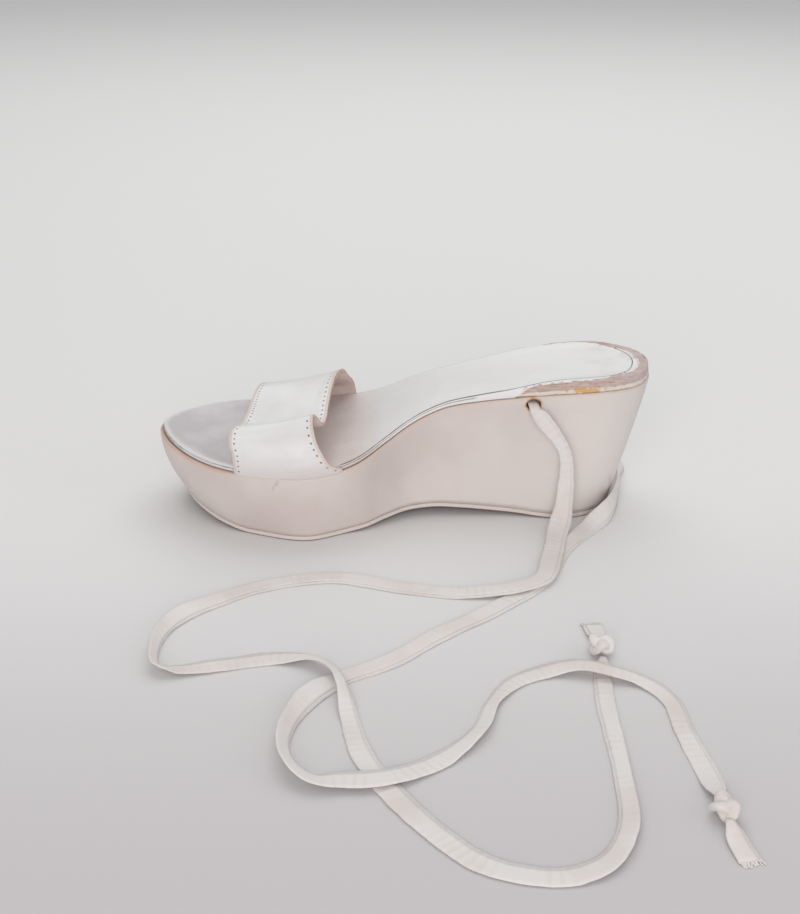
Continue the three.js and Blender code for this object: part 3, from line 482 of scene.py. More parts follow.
class Edge:
    """The insole's outline moved outwards by a distance, as near and far y at any x."""

    def __init__(self, outwards):
        ahead = np.roll(plan_line, -1, axis=0) - np.roll(plan_line, 1, axis=0)
        out = unit(np.column_stack([ahead[:, 1], -ahead[:, 0]]))
        distance = outwards(plan_line[:, 0]) if callable(outwards) else outwards
        line = plan_line + out * np.reshape(distance, (-1, 1))
        toe, heel = int(np.argmin(line[:, 0])), int(np.argmax(line[:, 0]))
        line = np.roll(line, -toe, axis=0)
        heel = (heel - toe) % len(line)
        self.near = line[:heel + 1]
        self.far = np.vstack([line[heel:], line[:1]])[::-1]

    def sides(self, x):
        return (np.interp(x, *self.near[np.argsort(self.near[:, 0])].T),
                np.interp(x, *self.far[np.argsort(self.far[:, 0])].T))


SIDE_STATIONS = 130
spread = (1 - np.cos(np.pi * np.arange(SIDE_STATIONS + 1) / SIDE_STATIONS)) / 2
around = np.concatenate([spread, spread[-2::-1]])
is_near = np.arange(len(around)) <= SIDE_STATIONS


def ring(edge, height):
    """Points round an edge from the toe by the near side to the heel and back."""
    x = edge.near[0, 0] + (edge.near[-1, 0] - edge.near[0, 0]) * around
    near, far = edge.sides(x)
    tips = (around == 0) | (around == 1)
    y = np.where(is_near | tips, near, far)
    return np.column_stack([x, y, height(x)])


def towards_axis(edge_ring, shares):
    """Rings from an edge in to the line midway between its two sides."""
    middle = (edge_ring[:, 1] + edge_ring[::-1, 1]) / 2
    axis = np.column_stack([edge_ring[:, 0], middle, edge_ring[:, 2]])
    return [edge_ring + (axis - edge_ring) * share for share in shares]


def ledge(x):
    return STRAP_WALL * read(WALL_SHAPE, 3, along_at(x))


platform_edge = Edge(ledge)
floor_toe = SHIFT[0] - SHOE_LENGTH / 2 + TOE_UNDERCUT
floor_heel = SHIFT[0] + SHOE_LENGTH / 2 - HEEL_UNDERCUT


def floor_ring(rise, inset=0.0):
    """The sole's outline at the floor, which is narrower and shorter than the platform's top."""
    top = ring(platform_edge, lambda x: 0 * x)
    middle = (top[0, 1] + top[SIDE_STATIONS, 1]) / 2
    x = floor_toe + inset + (floor_heel - floor_toe - 2 * inset) * around
    y = middle + (top[:, 1] - middle) * (1 - read(WALL_SHAPE, 1, around))
    y -= np.sign(y - middle) * inset * np.sqrt(np.clip(1 - (2 * around - 1) ** 2, 0, 1))
    return np.column_stack([x, y, sole_bottom(x) + rise])


def cut_away(piece, cutter):
    """Cuts the closed shape of a bmesh out of a piece."""
    mesh = bpy.data.meshes.new("cutter")
    cutter.to_mesh(mesh)
    cutter.free()
    tool = bpy.data.objects.new("cutter", mesh)
    bpy.context.scene.collection.objects.link(tool)
    cut = piece.modifiers.new("cut", "BOOLEAN")
    cut.object = tool
    cut.solver = "EXACT"
    bpy.context.view_layer.update()
    depsgraph = bpy.context.evaluated_depsgraph_get()
    shaped = bpy.data.meshes.new_from_object(piece.evaluated_get(depsgraph))
    piece.modifiers.clear()
    piece.data = shaped
    bpy.data.objects.remove(tool)
    bpy.data.meshes.remove(mesh)


hole_x = TUNNEL["x"] + SHIFT[0]
hole_z = float(board_bottom(hole_x)) - GAP - TUNNEL["roof"] - TUNNEL["height"] / 2


# Calf leather, dyed off-white and polished: a tight grain, soft wrinkles where it was pulled
# over the block, a pinkish cast, painted light towards the heel, tan where the top edge is
# rubbed, darker low on the wall, and painted shade low at the heel's back where the tape runs
# close. The top, where it is turned in under the board, is painted dark brown as the shade in
# the gap under the board and the strap.
calf, skin, place = new_material("polished_calf", Roughness=0.5, Specular_IOR_Level=0.4)
below_top = node(calf, "Attribute", {}, out="Fac", attribute_name="below_top")
above_sole = node(calf, "Attribute", {}, out="Fac", attribute_name="above_sole")
place_x = node(calf, "SeparateXYZ", {0: place}, out="X")
place_z = node(calf, "SeparateXYZ", {0: place}, out="Z")
colour = node(calf, "Mix", {0: node(calf, "MapRange",
    (node(calf, "TexNoise", {"Vector": place, "Scale": 1 / 0.045, "Detail": 3}), 0.35, 0.68),
    **EASED), 6: linear("#cbc0bc"), 7: linear("#d5ccc8")}, **COLOUR_MIX)
# Painted light: the side is painted lighter towards the heel, where it is lit more.
painted_light_heelward = node(calf, "MapRange", (place_x, -0.02, 0.1), **EASED)
colour = node(calf, "Mix", {0: node(calf, "Math", (painted_light_heelward, 0.55), operation="MULTIPLY"),
    6: colour, 7: linear("#dedad6")}, **COLOUR_MIX)
rubbed = node(calf, "Math", (node(calf, "MapRange", (below_top, 0.0017, 0.0002), **EASED),
    node(calf, "MapRange", (
        node(calf, "TexNoise", {"Vector": place, "Scale": 1 / 0.009, "Detail": 3}), 0.34, 0.6, 0.6,
        1.0), **EASED)), operation="MULTIPLY")
rubbed = node(calf, "Math", (rubbed, node(calf, "Math", (
    node(calf, "MapRange", (place_x, -0.079, -0.084, 0.12, 0.95), **EASED),
    node(calf, "MapRange", (place_x, -0.034, -0.026, 0, 0.5), **EASED)), operation="MAXIMUM")),
    operation="MULTIPLY")
colour = node(calf, "Mix", {0: rubbed, 6: colour, 7: linear("#d3b099")}, **COLOUR_MIX)
# Painted shade: the turned-in top is dark brown, showing as the dark line in the gap under the
# strap and board.
colour = node(calf, "Mix", {0: node(calf, "Attribute", {}, out="Fac", attribute_name="on_top"),
    6: colour, 7: linear("#a98f81")}, **COLOUR_MIX)
# The wall is darker in its lowest 3 mm.
darker_near_sole = node(calf, "Math", (node(calf, "MapRange", (above_sole, 0.003, 0.0), **EASED), 0.15),
    operation="MULTIPLY")
colour = node(calf, "Mix", {0: darker_near_sole, 6: colour, 7: linear("#b79f92")}, **COLOUR_MIX)
# Painted shade low at the heel's back, where the tape runs close past it.
from_tape_shade = node(calf, "VectorMath", {0: place, 1: (0.101, -0.02, 0.01)}, out="Value",
    operation="DISTANCE")
colour = node(calf, "Mix", {0: node(calf, "Math", (
    node(calf, "MapRange", (from_tape_shade, 0.012, 0.004), **EASED),
    node(calf, "MapRange", (
        node(calf, "TexNoise", {"Vector": place, "Scale": 1 / 0.005, "Detail": 3}), 0.4, 0.62, 0.1,
        0.5), **EASED)), operation="MULTIPLY"), 6: colour, 7: linear("#b59c8b")}, **COLOUR_MIX)
streak = node(calf, "Mapping", {"Vector": place, "Location": (-0.0609, -0.0475, 0.0293),
    "Rotation": (0, radians(35), 0), "Scale": (1, 1, 3.5)}, vector_type="TEXTURE")
scuff = node(calf, "VectorMath", {0: streak}, out="Value", operation="LENGTH")
scuffed = node(calf, "Math", (node(calf, "MapRange", (scuff, 0.0016, 0.0004), **EASED),
    node(calf, "MapRange",
        (node(calf, "TexNoise", {"Vector": place, "Scale": 1 / 0.0012, "Detail": 3}), 0.42, 0.56),
        **EASED)), operation="MULTIPLY")
colour = node(calf, "Mix",
    {0: node(calf, "Math", (scuffed, 0.45), operation="MULTIPLY"), 6: colour, 7: linear("#a08d86")},
    **COLOUR_MIX)
from_hole = node(calf, "CombineXYZ", {
    0: node(calf, "Math", (place_x, hole_x), operation="SUBTRACT"),
    2: node(calf, "Math", (place_z, hole_z), operation="SUBTRACT")})
from_hole = node(calf, "VectorMath", {0: from_hole}, out="Value", operation="LENGTH")
frayed = node(calf, "Math", (from_hole, node(calf, "Math",
    (node(calf, "TexNoise", {"Vector": place, "Scale": 1 / 0.0016, "Detail": 3}), 0.0016),
    operation="MULTIPLY")), operation="ADD")
colour = node(calf, "Mix",
    {0: node(calf, "MapRange", (frayed, 0.0052, 0.0042), **EASED), 6: colour, 7: linear("#d0a888")},
    **COLOUR_MIX)
colour = node(calf, "Mix",
    {0: node(calf, "MapRange", (frayed, 0.0044, 0.0036), **EASED), 6: colour, 7: linear("#9a6f50")},
    **COLOUR_MIX)
link(calf, colour, skin.inputs["Base Color"])
link(calf, node(calf, "MapRange", (
    node(calf, "TexNoise", {"Vector": place, "Scale": 1 / 0.02, "Detail": 3}), 0.3, 0.7, 0.42,
    0.58), **EASED), skin.inputs["Roughness"])
grain = node(calf, "TexNoise", {"Vector": place, "Scale": 1 / 0.0011, "Roughness": 0.6})
drawn = node(calf, "Mapping", {"Vector": place, "Scale": (1.0, 1.0, 2.4)})
wrinkle = node(calf, "TexNoise", {"Vector": drawn, "Scale": 1 / 0.016})
grain_bump = node(calf, "Bump", {"Height": grain, "Strength": 0.25, "Distance": 0.00012})
link(calf, node(calf, "Bump",
    {"Height": wrinkle, "Strength": 0.3, "Distance": 0.0009, "Normal": grain_bump}),
    skin.inputs["Normal"])

levels = np.linspace(0, 1, 26)
top_ring = ring(platform_edge, lambda x: board_bottom(x) - GAP - TOP_EDGE)
foot = floor_ring(OUTSOLE_THICKNESS + GAP)
wall = []
for level in levels:
    out = (1 - (1 - level) ** read(WALL_SHAPE, 2, around))[:, None]
    flat = foot[:, :2] + (top_ring[:, :2] - foot[:, :2]) * out
    wall.append(np.column_stack([flat, foot[:, 2] + (top_ring[:, 2] - foot[:, 2]) * level]))
for turn in np.linspace(0, pi / 2, 5)[1:]:
    inwards = TOP_EDGE * (1 - np.cos(turn))
    wall.append(ring(Edge(lambda x: ledge(x) - inwards),
                     lambda x: board_bottom(x) - GAP - TOP_EDGE * (1 - np.sin(turn))))
rings = towards_axis(wall[0], (1, 0.5)) + wall + towards_axis(wall[-1], (0.06, 0.3, 0.65, 1))
points = np.stack(rings, axis=1)
rim_height = board_bottom(points[..., 0]) - GAP
below = np.clip(rim_height - points[..., 2], 0, 1)
on_top = np.zeros(below.shape)
on_top[:, -4:] = 1
above = np.clip(points[..., 2] - foot[:, None, 2], 0, 1)
platform = finished("platform_wrap", laid_sheet(
    points, below_top=below + on_top * 0.01, above_sole=above, on_top=on_top),
                    [calf], nodes=["platform"])
tunnel = bmesh.new()
bmesh.ops.create_cone(tunnel, cap_ends=True, segments=40, radius1=0.5, radius2=0.5, depth=1)
for vertex in tunnel.verts:
    across, lengthwise, height = vertex.co
    vertex.co = (hole_x + across * TUNNEL["width"], height * 0.2,
                 hole_z + lengthwise * TUNNEL["height"])
bmesh.ops.recalc_face_normals(tunnel, faces=tunnel.faces)
cut_away(platform, tunnel)


# Outsole: a thin sheet of dark rubber, cut to the block's foot and glued under it. Its edge is
# buffed pale and shows as a line along the bottom; its lowest half millimetre is left dark as
# painted shade where it meets the floor, and its walked-on face is ribbed crosswise.
rubber, skin, place = new_material("buffed_rubber", Roughness=0.72, Specular_IOR_Level=0.4)
above_floor = node(rubber, "Attribute", {}, out="Fac", attribute_name="above_floor")
colour = node(rubber, "Mix", {0: node(rubber, "MapRange",
    (node(rubber, "TexNoise", {"Vector": place, "Scale": 1 / 0.012, "Detail": 3}), 0.35, 0.65),
    **EASED), 6: linear("#5a4740"), 7: linear("#75615a")}, **COLOUR_MIX)
# Painted shade: the edge stays dark in its lowest half millimetre, as the shade line at the floor.
colour = node(rubber, "Mix", {0: node(rubber, "MapRange", (above_floor, 0.0003, 0.0006), **EASED),
    6: colour, 7: linear("#d6cac5")}, **COLOUR_MIX)
link(rubber, colour, skin.inputs["Base Color"])
tread = node(rubber, "Math", (node(rubber, "Math",
    (node(rubber, "SeparateXYZ", {0: place}), 2 * pi / 0.0032), operation="MULTIPLY"),),
    operation="SINE")
link(rubber, node(rubber, "Bump", {"Height": node(rubber, "Math",
    (tread, node(rubber, "TexNoise", {"Vector": place, "Scale": 1 / 0.0008})), operation="ADD"),
    "Strength": 0.4, "Distance": 0.0002}), skin.inputs["Normal"])
SOLE_EDGE = 0.0005
profile = [(0.0, SOLE_EDGE), (SOLE_EDGE * 0.3, SOLE_EDGE * 0.3), (SOLE_EDGE, 0.0),
           (OUTSOLE_THICKNESS - SOLE_EDGE, 0.0),
           (OUTSOLE_THICKNESS - SOLE_EDGE * 0.3, SOLE_EDGE * 0.3),
           (OUTSOLE_THICKNESS, SOLE_EDGE)]
edges = [floor_ring(rise, inset) for rise, inset in profile]


def with_own_height(rings, rise):
    """Rings towards the axis, laid on the sole's own curve."""
    return [np.column_stack([r[:, :2], sole_bottom(r[:, 0]) + rise]) for r in rings]


rings = with_own_height(towards_axis(edges[0], (1, 0.6, 0.2)), 0) + edges + with_own_height(
    towards_axis(edges[-1], (0.2, 0.6, 1)), OUTSOLE_THICKNESS)
points = np.stack(rings, axis=1)
outsole = finished("rubber_sole", laid_sheet(
    points, above_floor=points[..., 2] - sole_bottom(points[..., 0])), [rubber],
                   nodes=["outsole"])


# Insole board: stiff leather fibreboard that carries the foot. Round the heel the leather that
# wrapped its edge has worn through, and the bare edge is rough, layered and pinkish brown. It
# keeps a cream strip along its foot, with a spot of dried glue.
WORN_START = (0.050, 0.060)
WORN_RUN_OUT = 0.008
BARE_RETREAT = 0.0036
fibre, skin, place = new_material("leather_fibreboard", Roughness=0.95, Specular_IOR_Level=0.2)
place_x = node(fibre, "SeparateXYZ", {0: place}, out="X")
plies = node(fibre, "Mapping", {"Vector": place, "Scale": (1, 1, 9)})
shreds = node(fibre, "TexNoise",
    {"Vector": plies, "Scale": 1 / 0.005, "Detail": 5, "Roughness": 0.7})
colour = node(fibre, "Mix", {0: node(fibre, "MapRange", (shreds, 0.32, 0.66), **EASED),
    6: linear("#b4968b"), 7: linear("#d2c1ba")}, **COLOUR_MIX)
colour = node(fibre, "Mix", {0: node(fibre, "MapRange", (
    node(fibre, "TexNoise", {"Vector": place, "Scale": 1 / 0.0022, "Detail": 4, "Roughness": 0.7}),
    0.56, 0.72), **EASED), 6: colour, 7: linear("#a18679")}, **COLOUR_MIX)
colour = node(fibre, "Mix", {0: node(fibre, "MapRange",
    (node(fibre, "TexNoise", {"Vector": place, "Scale": 1 / 0.006}), 0.55, 0.72, 0, 0.6), **EASED),
    6: colour, 7: linear("#cfc6c4")}, **COLOUR_MIX)
colour = node(fibre, "Mix", {0: node(fibre, "MapRange", (place_x, 0.092, 0.11, 0, 0.5), **EASED),
    6: colour, 7: linear("#cfc6c6")}, **COLOUR_MIX)
from_glue = node(fibre, "Mapping",
    {"Vector": place, "Location": (0.083, -0.0278, 0.065), "Scale": (2.4, 1.5, 0.45)},
    vector_type="TEXTURE")
from_glue = node(fibre, "VectorMath", {0: from_glue}, out="Value", operation="LENGTH")
from_glue = node(fibre, "Math", (from_glue, node(fibre, "Math",
    (node(fibre, "TexNoise", {"Vector": place, "Scale": 1 / 0.0025, "Detail": 3}), 0.01),
    operation="MULTIPLY")), operation="ADD")
glue_spot = node(fibre, "MapRange", (from_glue, 0.0086, 0.007, 0, 0.8), **EASED)
colour = node(fibre, "Mix", {0: node(fibre, "MapRange", (node(fibre, "Math",
    (node(fibre, "Attribute", {}, out="Fac", attribute_name="share_up"), node(fibre, "Math",
        (node(fibre, "TexNoise", {"Vector": place, "Scale": 1 / 0.003, "Detail": 3}), 0.3),
        operation="MULTIPLY")), operation="ADD"), 0.58, 0.5), **EASED), 6: colour,
    7: linear("#e4dcd3")}, **COLOUR_MIX)
colour = node(fibre, "Mix", {0: glue_spot, 6: colour, 7: linear("#dba552")}, **COLOUR_MIX)
link(fibre, colour, skin.inputs["Base Color"])
link(fibre, node(fibre, "Bump", {"Height": node(fibre, "Math",
    (shreds, node(fibre, "TexNoise", {"Vector": place, "Scale": 1 / 0.0009, "Detail": 3})),
    operation="ADD"), "Strength": 0.9, "Distance": 0.0005}), skin.inputs["Normal"])


def worn(x, near, late=0.0):
    """How far the wrap is worn away: 0 whole, 1 bare."""
    start = np.where(near, WORN_START[0], WORN_START[1]) + late
    return eased_step(x, start, start + WORN_RUN_OUT)


def rough(points, size, depth, seed):
    """Irregular depths at points, in patches of a size."""
    places = [Vector((p[0] / size, p[1] / size, p[2] / size + seed)) for p in points]
    return np.array([noise.fractal(at, 1.0, 2.0, 3) for at in places]) * depth


def edge_distance(points):
    """The distance in from the insole's outline."""
    flat = points[..., :2].reshape(-1, 2)
    ends = np.roll(plan_line, -1, axis=0)
    least = np.full(len(flat), 9.0)
    for start, end in zip(plan_line, ends):
        way = end - start
        share = np.clip(((flat - start) @ way) / (way @ way), 0, 1)
        least = np.minimum(least, np.linalg.norm(flat - start - share[:, None] * way, axis=1))
    return least.reshape(points.shape[:2])


inner = Edge(-(COVER_THICKNESS + GAP))
flush = Edge(-GAP / 3)
board_rings = []
for share in (0.0, 0.12, 0.3, 0.5, 0.7, 0.88, 1.0):
    def height(x):
        return board_bottom(x) + (insole_top(x) - 0.0004 - board_bottom(x)) * share

    shy, full = ring(inner, height), ring(flush, height)
    bare = worn(full[:, 0], is_near, WORN_RUN_OUT / 2)[:, None]
    line = shy + (full - shy) * bare
    line[:, 2] -= (1 - bare[:, 0]) * share * 0.0009
    out = np.column_stack([unit((full - shy)[:, :2] + 1e-12), 0 * full[:, 0]])
    line -= out * (np.abs(rough(line, 0.004, 0.0009, 2.0)) * bare[:, 0])[:, None]
    line -= out * (0.0006 * share**3 * bare[:, 0])[:, None]
    board_rings.append(line)
flat_rings = towards_axis(board_rings[-1], (0.03, 0.07, 0.12, 0.18, 0.26, 0.36, 0.5, 0.75, 1))
for r in flat_rings:
    r[:, 2] -= 0.0022 * eased_step(edge_distance(r[None])[0], 0.006, 0.009)
rings = towards_axis(board_rings[0], (1, 0.4)) + board_rings + flat_rings
points = np.stack(rings, axis=1)
share_up = np.concatenate([
    np.zeros(2), np.linspace(0, 1, len(board_rings)), np.ones(len(flat_rings))])
board = finished("fibre_board", laid_sheet(
    points, share_up=np.tile(share_up, (len(points), 1))), [fibre],
                 nodes=["insole_board"])


# Insole cover: one sheet of smooth white leather over the board, turned down over its edge. A
# stitch line is pressed in round it. It is greyer at the toes, where the foot has hollowed it,
# and round the heel its edge has worn back to a ragged line. Painted shade tints it pinkish
# under and just behind the strap.
sock, skin, place = new_material("white_sock_leather", Roughness=0.42, Specular_IOR_Level=0.45)
place_x = node(sock, "SeparateXYZ", {0: place}, out="X")
from_edge = node(sock, "Attribute", {}, out="Fac", attribute_name="from_edge")
colour = node(sock, "Mix", {0: node(sock, "MapRange",
    (node(sock, "TexNoise", {"Vector": place, "Scale": 1 / 0.05, "Detail": 3}), 0.35, 0.7),
    **EASED), 6: linear("#e6e6e6"), 7: linear("#dedddd")}, **COLOUR_MIX)
# The toe is greyer, in patches.
toe_grey = node(sock, "Math", (node(sock, "MapRange", (place_x, -0.046, -0.062), **EASED),
    node(sock, "MapRange", (from_edge, 0.0004, 0.0034, 0.3, 1.0), **EASED)), operation="MULTIPLY")
toe_grey_mottle = node(sock, "MapRange",
    (node(sock, "TexNoise", {"Vector": place, "Scale": 1 / 0.02, "Detail": 3}), 0.38, 0.62),
    **EASED)
colour = node(sock, "Mix", {0: node(sock, "Math", (toe_grey, 0.72), operation="MULTIPLY"),
    6: colour,
    7: node(sock, "Mix", {0: toe_grey_mottle, 6: linear("#c2bdc0"), 7: linear("#b0a9ac")}, **COLOUR_MIX)},
    **COLOUR_MIX)
# Painted shade: pinkish under and just behind the strap, where the strap shades the insole.
painted_shade_under_strap = node(sock, "Math", (node(sock, "Math", (
    node(sock, "MapRange", (place_x, -0.004, -0.028), **EASED),
    node(sock, "MapRange", (place_x, -0.064, -0.052), **EASED)), operation="MULTIPLY"),
    node(sock, "MapRange", (
        node(sock, "TexNoise", {"Vector": place, "Scale": 1 / 0.02, "Detail": 3}), 0.3, 0.6, 0.55,
        1.0), **EASED)), operation="MULTIPLY")
colour = node(sock, "Mix", {0: node(sock, "Math", (painted_shade_under_strap, 0.6), operation="MULTIPLY"),
    6: colour, 7: linear("#cdb9b1")}, **COLOUR_MIX)
heel_wear = node(sock, "Math", (node(sock, "MapRange", (place_x, 0.075, 0.112), **EASED),
    node(sock, "MapRange", (
        node(sock, "TexNoise", {"Vector": place, "Scale": 1 / 0.012, "Detail": 4}), 0.45, 0.7, 0.0,
        0.5), **EASED)), operation="MULTIPLY")
colour = node(sock, "Mix", {0: heel_wear, 6: colour, 7: linear("#cfc6c2")}, **COLOUR_MIX)
line_off = node(sock, "Math", (node(sock, "Attribute", {}, out="Fac", attribute_name="from_line"),),
    operation="ABSOLUTE")
past_strap = node(sock, "MapRange", (place_x, -0.034, -0.03), **EASED)
incised = node(sock, "Math",
    (node(sock, "MapRange", (line_off, 0.00045, 0.00015), **EASED), past_strap),
    operation="MULTIPLY")
colour = node(sock, "Mix", {0: node(sock, "Math", (incised, node(sock, "MapRange",
    (node(sock, "TexNoise", {"Vector": place, "Scale": 1 / 0.01, "Detail": 3}), 0.3, 0.6, 0.7, 1.0),
    **EASED)), operation="MULTIPLY"), 6: colour, 7: linear("#5f5a62")}, **COLOUR_MIX)
ragged = node(sock, "MapRange",
    (node(sock, "Attribute", {}, out="Fac", attribute_name="ragged"), 0.35, 0.95), **EASED)
colour = node(sock, "Mix", {0: node(sock, "Math", (ragged, node(sock, "MapRange",
    (node(sock, "TexNoise", {"Vector": place, "Scale": 1 / 0.0025, "Detail": 4}), 0.42, 0.6),
    **EASED)), operation="MULTIPLY"), 6: colour, 7: linear("#a9a1a3")}, **COLOUR_MIX)
link(sock, colour, skin.inputs["Base Color"])
link(sock, node(sock, "MapRange", (
    node(sock, "TexNoise", {"Vector": place, "Scale": 1 / 0.02, "Detail": 3}), 0.3, 0.7, 0.36,
    0.52), **EASED), skin.inputs["Roughness"])
scratch_way = node(sock, "Mapping",
    {"Vector": place, "Scale": (0.12, 1.0, 1.0), "Rotation": (0, 0, 0.5)})
fine = node(sock, "Math", (
    node(sock, "TexNoise", {"Vector": place, "Scale": 1 / 0.0012, "Roughness": 0.6}),
    node(sock, "Math",
        (node(sock, "TexNoise", {"Vector": scratch_way, "Scale": 1 / 0.0022, "Detail": 4}), 0.8),
        operation="MULTIPLY")), operation="ADD")
fine_bump = node(sock, "Bump", {"Height": fine, "Strength": 0.2, "Distance": 0.00012})
deep = node(sock, "Math", (node(sock, "TexNoise", {"Vector": place, "Scale": 1 / 0.013}),
    node(sock, "Math", (incised, 0.7), operation="MULTIPLY")), operation="SUBTRACT")
link(sock,
    node(sock, "Bump", {"Height": deep, "Strength": 0.45, "Distance": 0.0007, "Normal": fine_bump}),
    skin.inputs["Normal"])

# Hollows pressed by the foot: x, y, radius, depth
FOOT_HOLLOWS = (
    (-0.098, 0.004, 0.011, 0.0007), (-0.095, 0.020, 0.009, 0.0006),
    (-0.091, -0.014, 0.009, 0.0005), (-0.083, -0.026, 0.009, 0.0005),
    (-0.099, 0.033, 0.010, 0.0005), (-0.060, 0.010, 0.034, 0.0009),
    (0.080, 0.002, 0.028, 0.0011), (0.020, 0.004, 0.020, -0.0005),
)


def pressed(x, y):
    """How deep the foot has pressed the leather at a place."""
    depth = 0 * x
    for middle_x, middle_y, radius, most in FOOT_HOLLOWS:
        away = np.hypot(x - middle_x, y - middle_y) / radius
        depth += most * np.exp(-away**2)
    return depth


COVER_ROUND = 0.0010
hem_bottom = ring(Edge(0), board_bottom)
bare = worn(hem_bottom[:, 0], is_near)
ragged_line = (np.abs(rough(hem_bottom, 0.0028, 0.0013, 9.0))
               + np.abs(rough(hem_bottom, 0.012, 0.0012, 4.0)))
heel_end = eased_step(hem_bottom[:, 0], 0.085, 0.108)
retreat = bare * (np.where(is_near, 0.0003, 0.0011) + ragged_line + heel_end * BARE_RETREAT)


def cover_ring(inset, drop):
    """A ring of the cover, inset from its whole edge and below its top, less what is worn."""
    whole = ring(Edge(-inset), insole_top)
    deeper = ring(Edge(-inset - 0.004), insole_top)
    line = whole + (deeper - whole) * (retreat / 0.004)[:, None]
    height = insole_top(line[:, 0]) - drop * (1 - bare) - bare * np.minimum(drop, 0.0007)
    return np.column_stack([line[:, :2], height])


hem_height = insole_top(hem_bottom[:, 0]) - board_bottom(hem_bottom[:, 0])
hem_rings = []
for inset, share in ((COVER_THICKNESS, 0.5), (COVER_THICKNESS, 0.97), (0.0002, 1.0),
                     (0.0, 0.9), (0.0, 0.6), (0.0, 0.3)):
    hem_rings.append(cover_ring(inset, hem_height * share))
for turn in np.linspace(0, pi / 2, 6):
    hem_rings.append(cover_ring(COVER_ROUND * (1 - np.cos(turn)), COVER_ROUND * (1 - np.sin(turn))))
inner_shares = np.concatenate([np.linspace(0.012, 0.2, 14), np.linspace(0.24, 1, 22)])
top_rings = towards_axis(hem_rings[-1], inner_shares)
under = [r - (0, 0, COVER_THICKNESS) for r in towards_axis(hem_rings[0], (1, 0.5, 0.1))]
for r in top_rings:
    inward = edge_distance(r[None])[0]
    r[:, 2] -= pressed(r[:, 0], r[:, 1]) * eased_step(inward, 0.002, 0.010)
for r in under:
    r[:, 2] = insole_top(r[:, 0]) - COVER_THICKNESS - 0.0012
points = np.stack(under + hem_rings + top_rings, axis=1)
distance = edge_distance(points)
# The pressed line runs close to the edge along the arch and further in round the heel
station = points[..., 0]
line_inset = 0.0006 + eased_step(station, 0.096, 0.112) * 0.0040 + np.where(
    is_near[:, None], 0.0040 * eased_step(station, 0.045, 0.074),
    0.0012 * eased_step(station, 0.055, 0.080) + 0.0028 * eased_step(station, 0.090, 0.104))
ragged_edge = np.repeat((bare * (1 - heel_end * 0.3))[:, None], points.shape[1], 1) * np.exp(
    -((distance - retreat[:, None]) / 0.0014) ** 2)
cover = finished("sock_cover", laid_sheet(
    points, from_edge=distance, from_line=distance - line_inset, ragged=ragged_edge), [sock],
                 nodes=["insole_cover"])


# Vamp strap: a wide band of white leather lined in taupe, lasted under the board on both sides.
# It has lost its foot's shape: the near side has folded over into a crest and a valley, the far
# side stands. Both cut edges carry rows of needle holes whose thread has gone.
STRAP_RISE = 0.028
STRAP_END_WALL = 0.001
STRAP_TUCK = 0.012
STRAP_BEND = 0.0018
FOOT_GAP = 0.0006
STRAP_FOLDS = (
    (0.154, 0.341, -0.012, 0.1, -0.01, 0.09), (0.153, 0.328, -0.012, 0.23, 0, 0.27),
    (0.147, 0.317, -0.002, 0.42, 0.022, 0.47), (0.149, 0.311, 0.025, 0.54, 0.065, 0.69),
    (0.156, 0.312, 0.085, 0.58, 0.105, 0.81), (0.163, 0.319, 0.14, 0.55, 0.145, 0.73),
    (0.17, 0.33, 0.215, 0.53, 0.195, 0.52), (0.177, 0.336, 0.29, 0.57, 0.25, 0.5),
    (0.183, 0.345, 0.43, 0.59, 0.42, 0.66), (0.19, 0.356, 0.555, 0.63, 0.575, 0.81),
    (0.198, 0.365, 0.65, 0.65, 0.665, 0.815), (0.205, 0.376, 0.75, 0.57, 0.775, 0.72),
    (0.2, 0.388, 0.89, 0.36, 0.905, 0.43), (0.192, 0.398, 0.99, 0.16, 0.99, 0.18),
)
STRAP_FEET = ((0.155, 0.366), (0.19, 0.403))
insole_edge = Edge(0)


def strap_rows(share):
    """The points of one lengthwise line of the strap, from its near end to its far end."""
    rows = []
    for side, inwards in ((0, 1), (1, -1)):
        front, back = STRAP_FEET[side]
        x = (front + (back - front) * share - 0.5) * SHOE_LENGTH + SHIFT[0]
        edge = float(insole_edge.sides(x)[side])
        out = edge - inwards * (FOOT_GAP + STRAP_WALL / 2)
        seat = float(board_bottom(x)) - GAP - STRAP_END_WALL / 2
        end = [(x, edge + inwards * reach, seat) for reach in (STRAP_TUCK, STRAP_TUCK / 2)]
        for turn in np.linspace(0, pi / 2, 4):
            end.append((x, out + inwards * STRAP_BEND * (1 - np.sin(turn)),
                        seat + STRAP_BEND * (1 - np.cos(turn))))
        rows.append(end)
    folds = []
    for i, (front, back, across_f, rise_f, across_b, rise_b) in enumerate(STRAP_FOLDS):
        x = (front + (back - front) * share - 0.5) * SHOE_LENGTH + SHIFT[0]
        near, far = (float(y) for y in insole_edge.sides(x))
        y = near + (far - near) * (across_f + (across_b - across_f) * share)
        z = float(insole_top(x)) + STRAP_RISE * (rise_f + (rise_b - rise_f) * share)
        if i == 0:
            y = near - FOOT_GAP - STRAP_WALL / 2
        if i == len(STRAP_FOLDS) - 1:
            y = far + FOOT_GAP + STRAP_WALL / 2
        folds.append((x, y, z))
    return rows[0] + folds + rows[1][::-1]


NEEDLE_PITCH = 0.0030
NEEDLE_INSET = 0.0026
NEEDLE_RADIUS = 0.00054


def needle_row(material, along, from_edge, inset, pitch, radius):
    """How deep a point lies in a row of needle holes beside a cut edge."""
    turn = node(material, "Math", (node(material, "Math", (along, pitch), operation="DIVIDE"),),
        operation="FRACT")
    off = node(material, "Math", (node(material, "Math", (turn, 0.5), operation="SUBTRACT"), pitch),
        operation="MULTIPLY")
    away = node(material, "CombineXYZ",
        {0: off, 1: node(material, "Math", (from_edge, inset), operation="SUBTRACT")})
    length = node(material, "VectorMath", {0: away}, out="Value", operation="LENGTH")
    return node(material, "MapRange", (length, radius, radius * 0.45), **EASED)


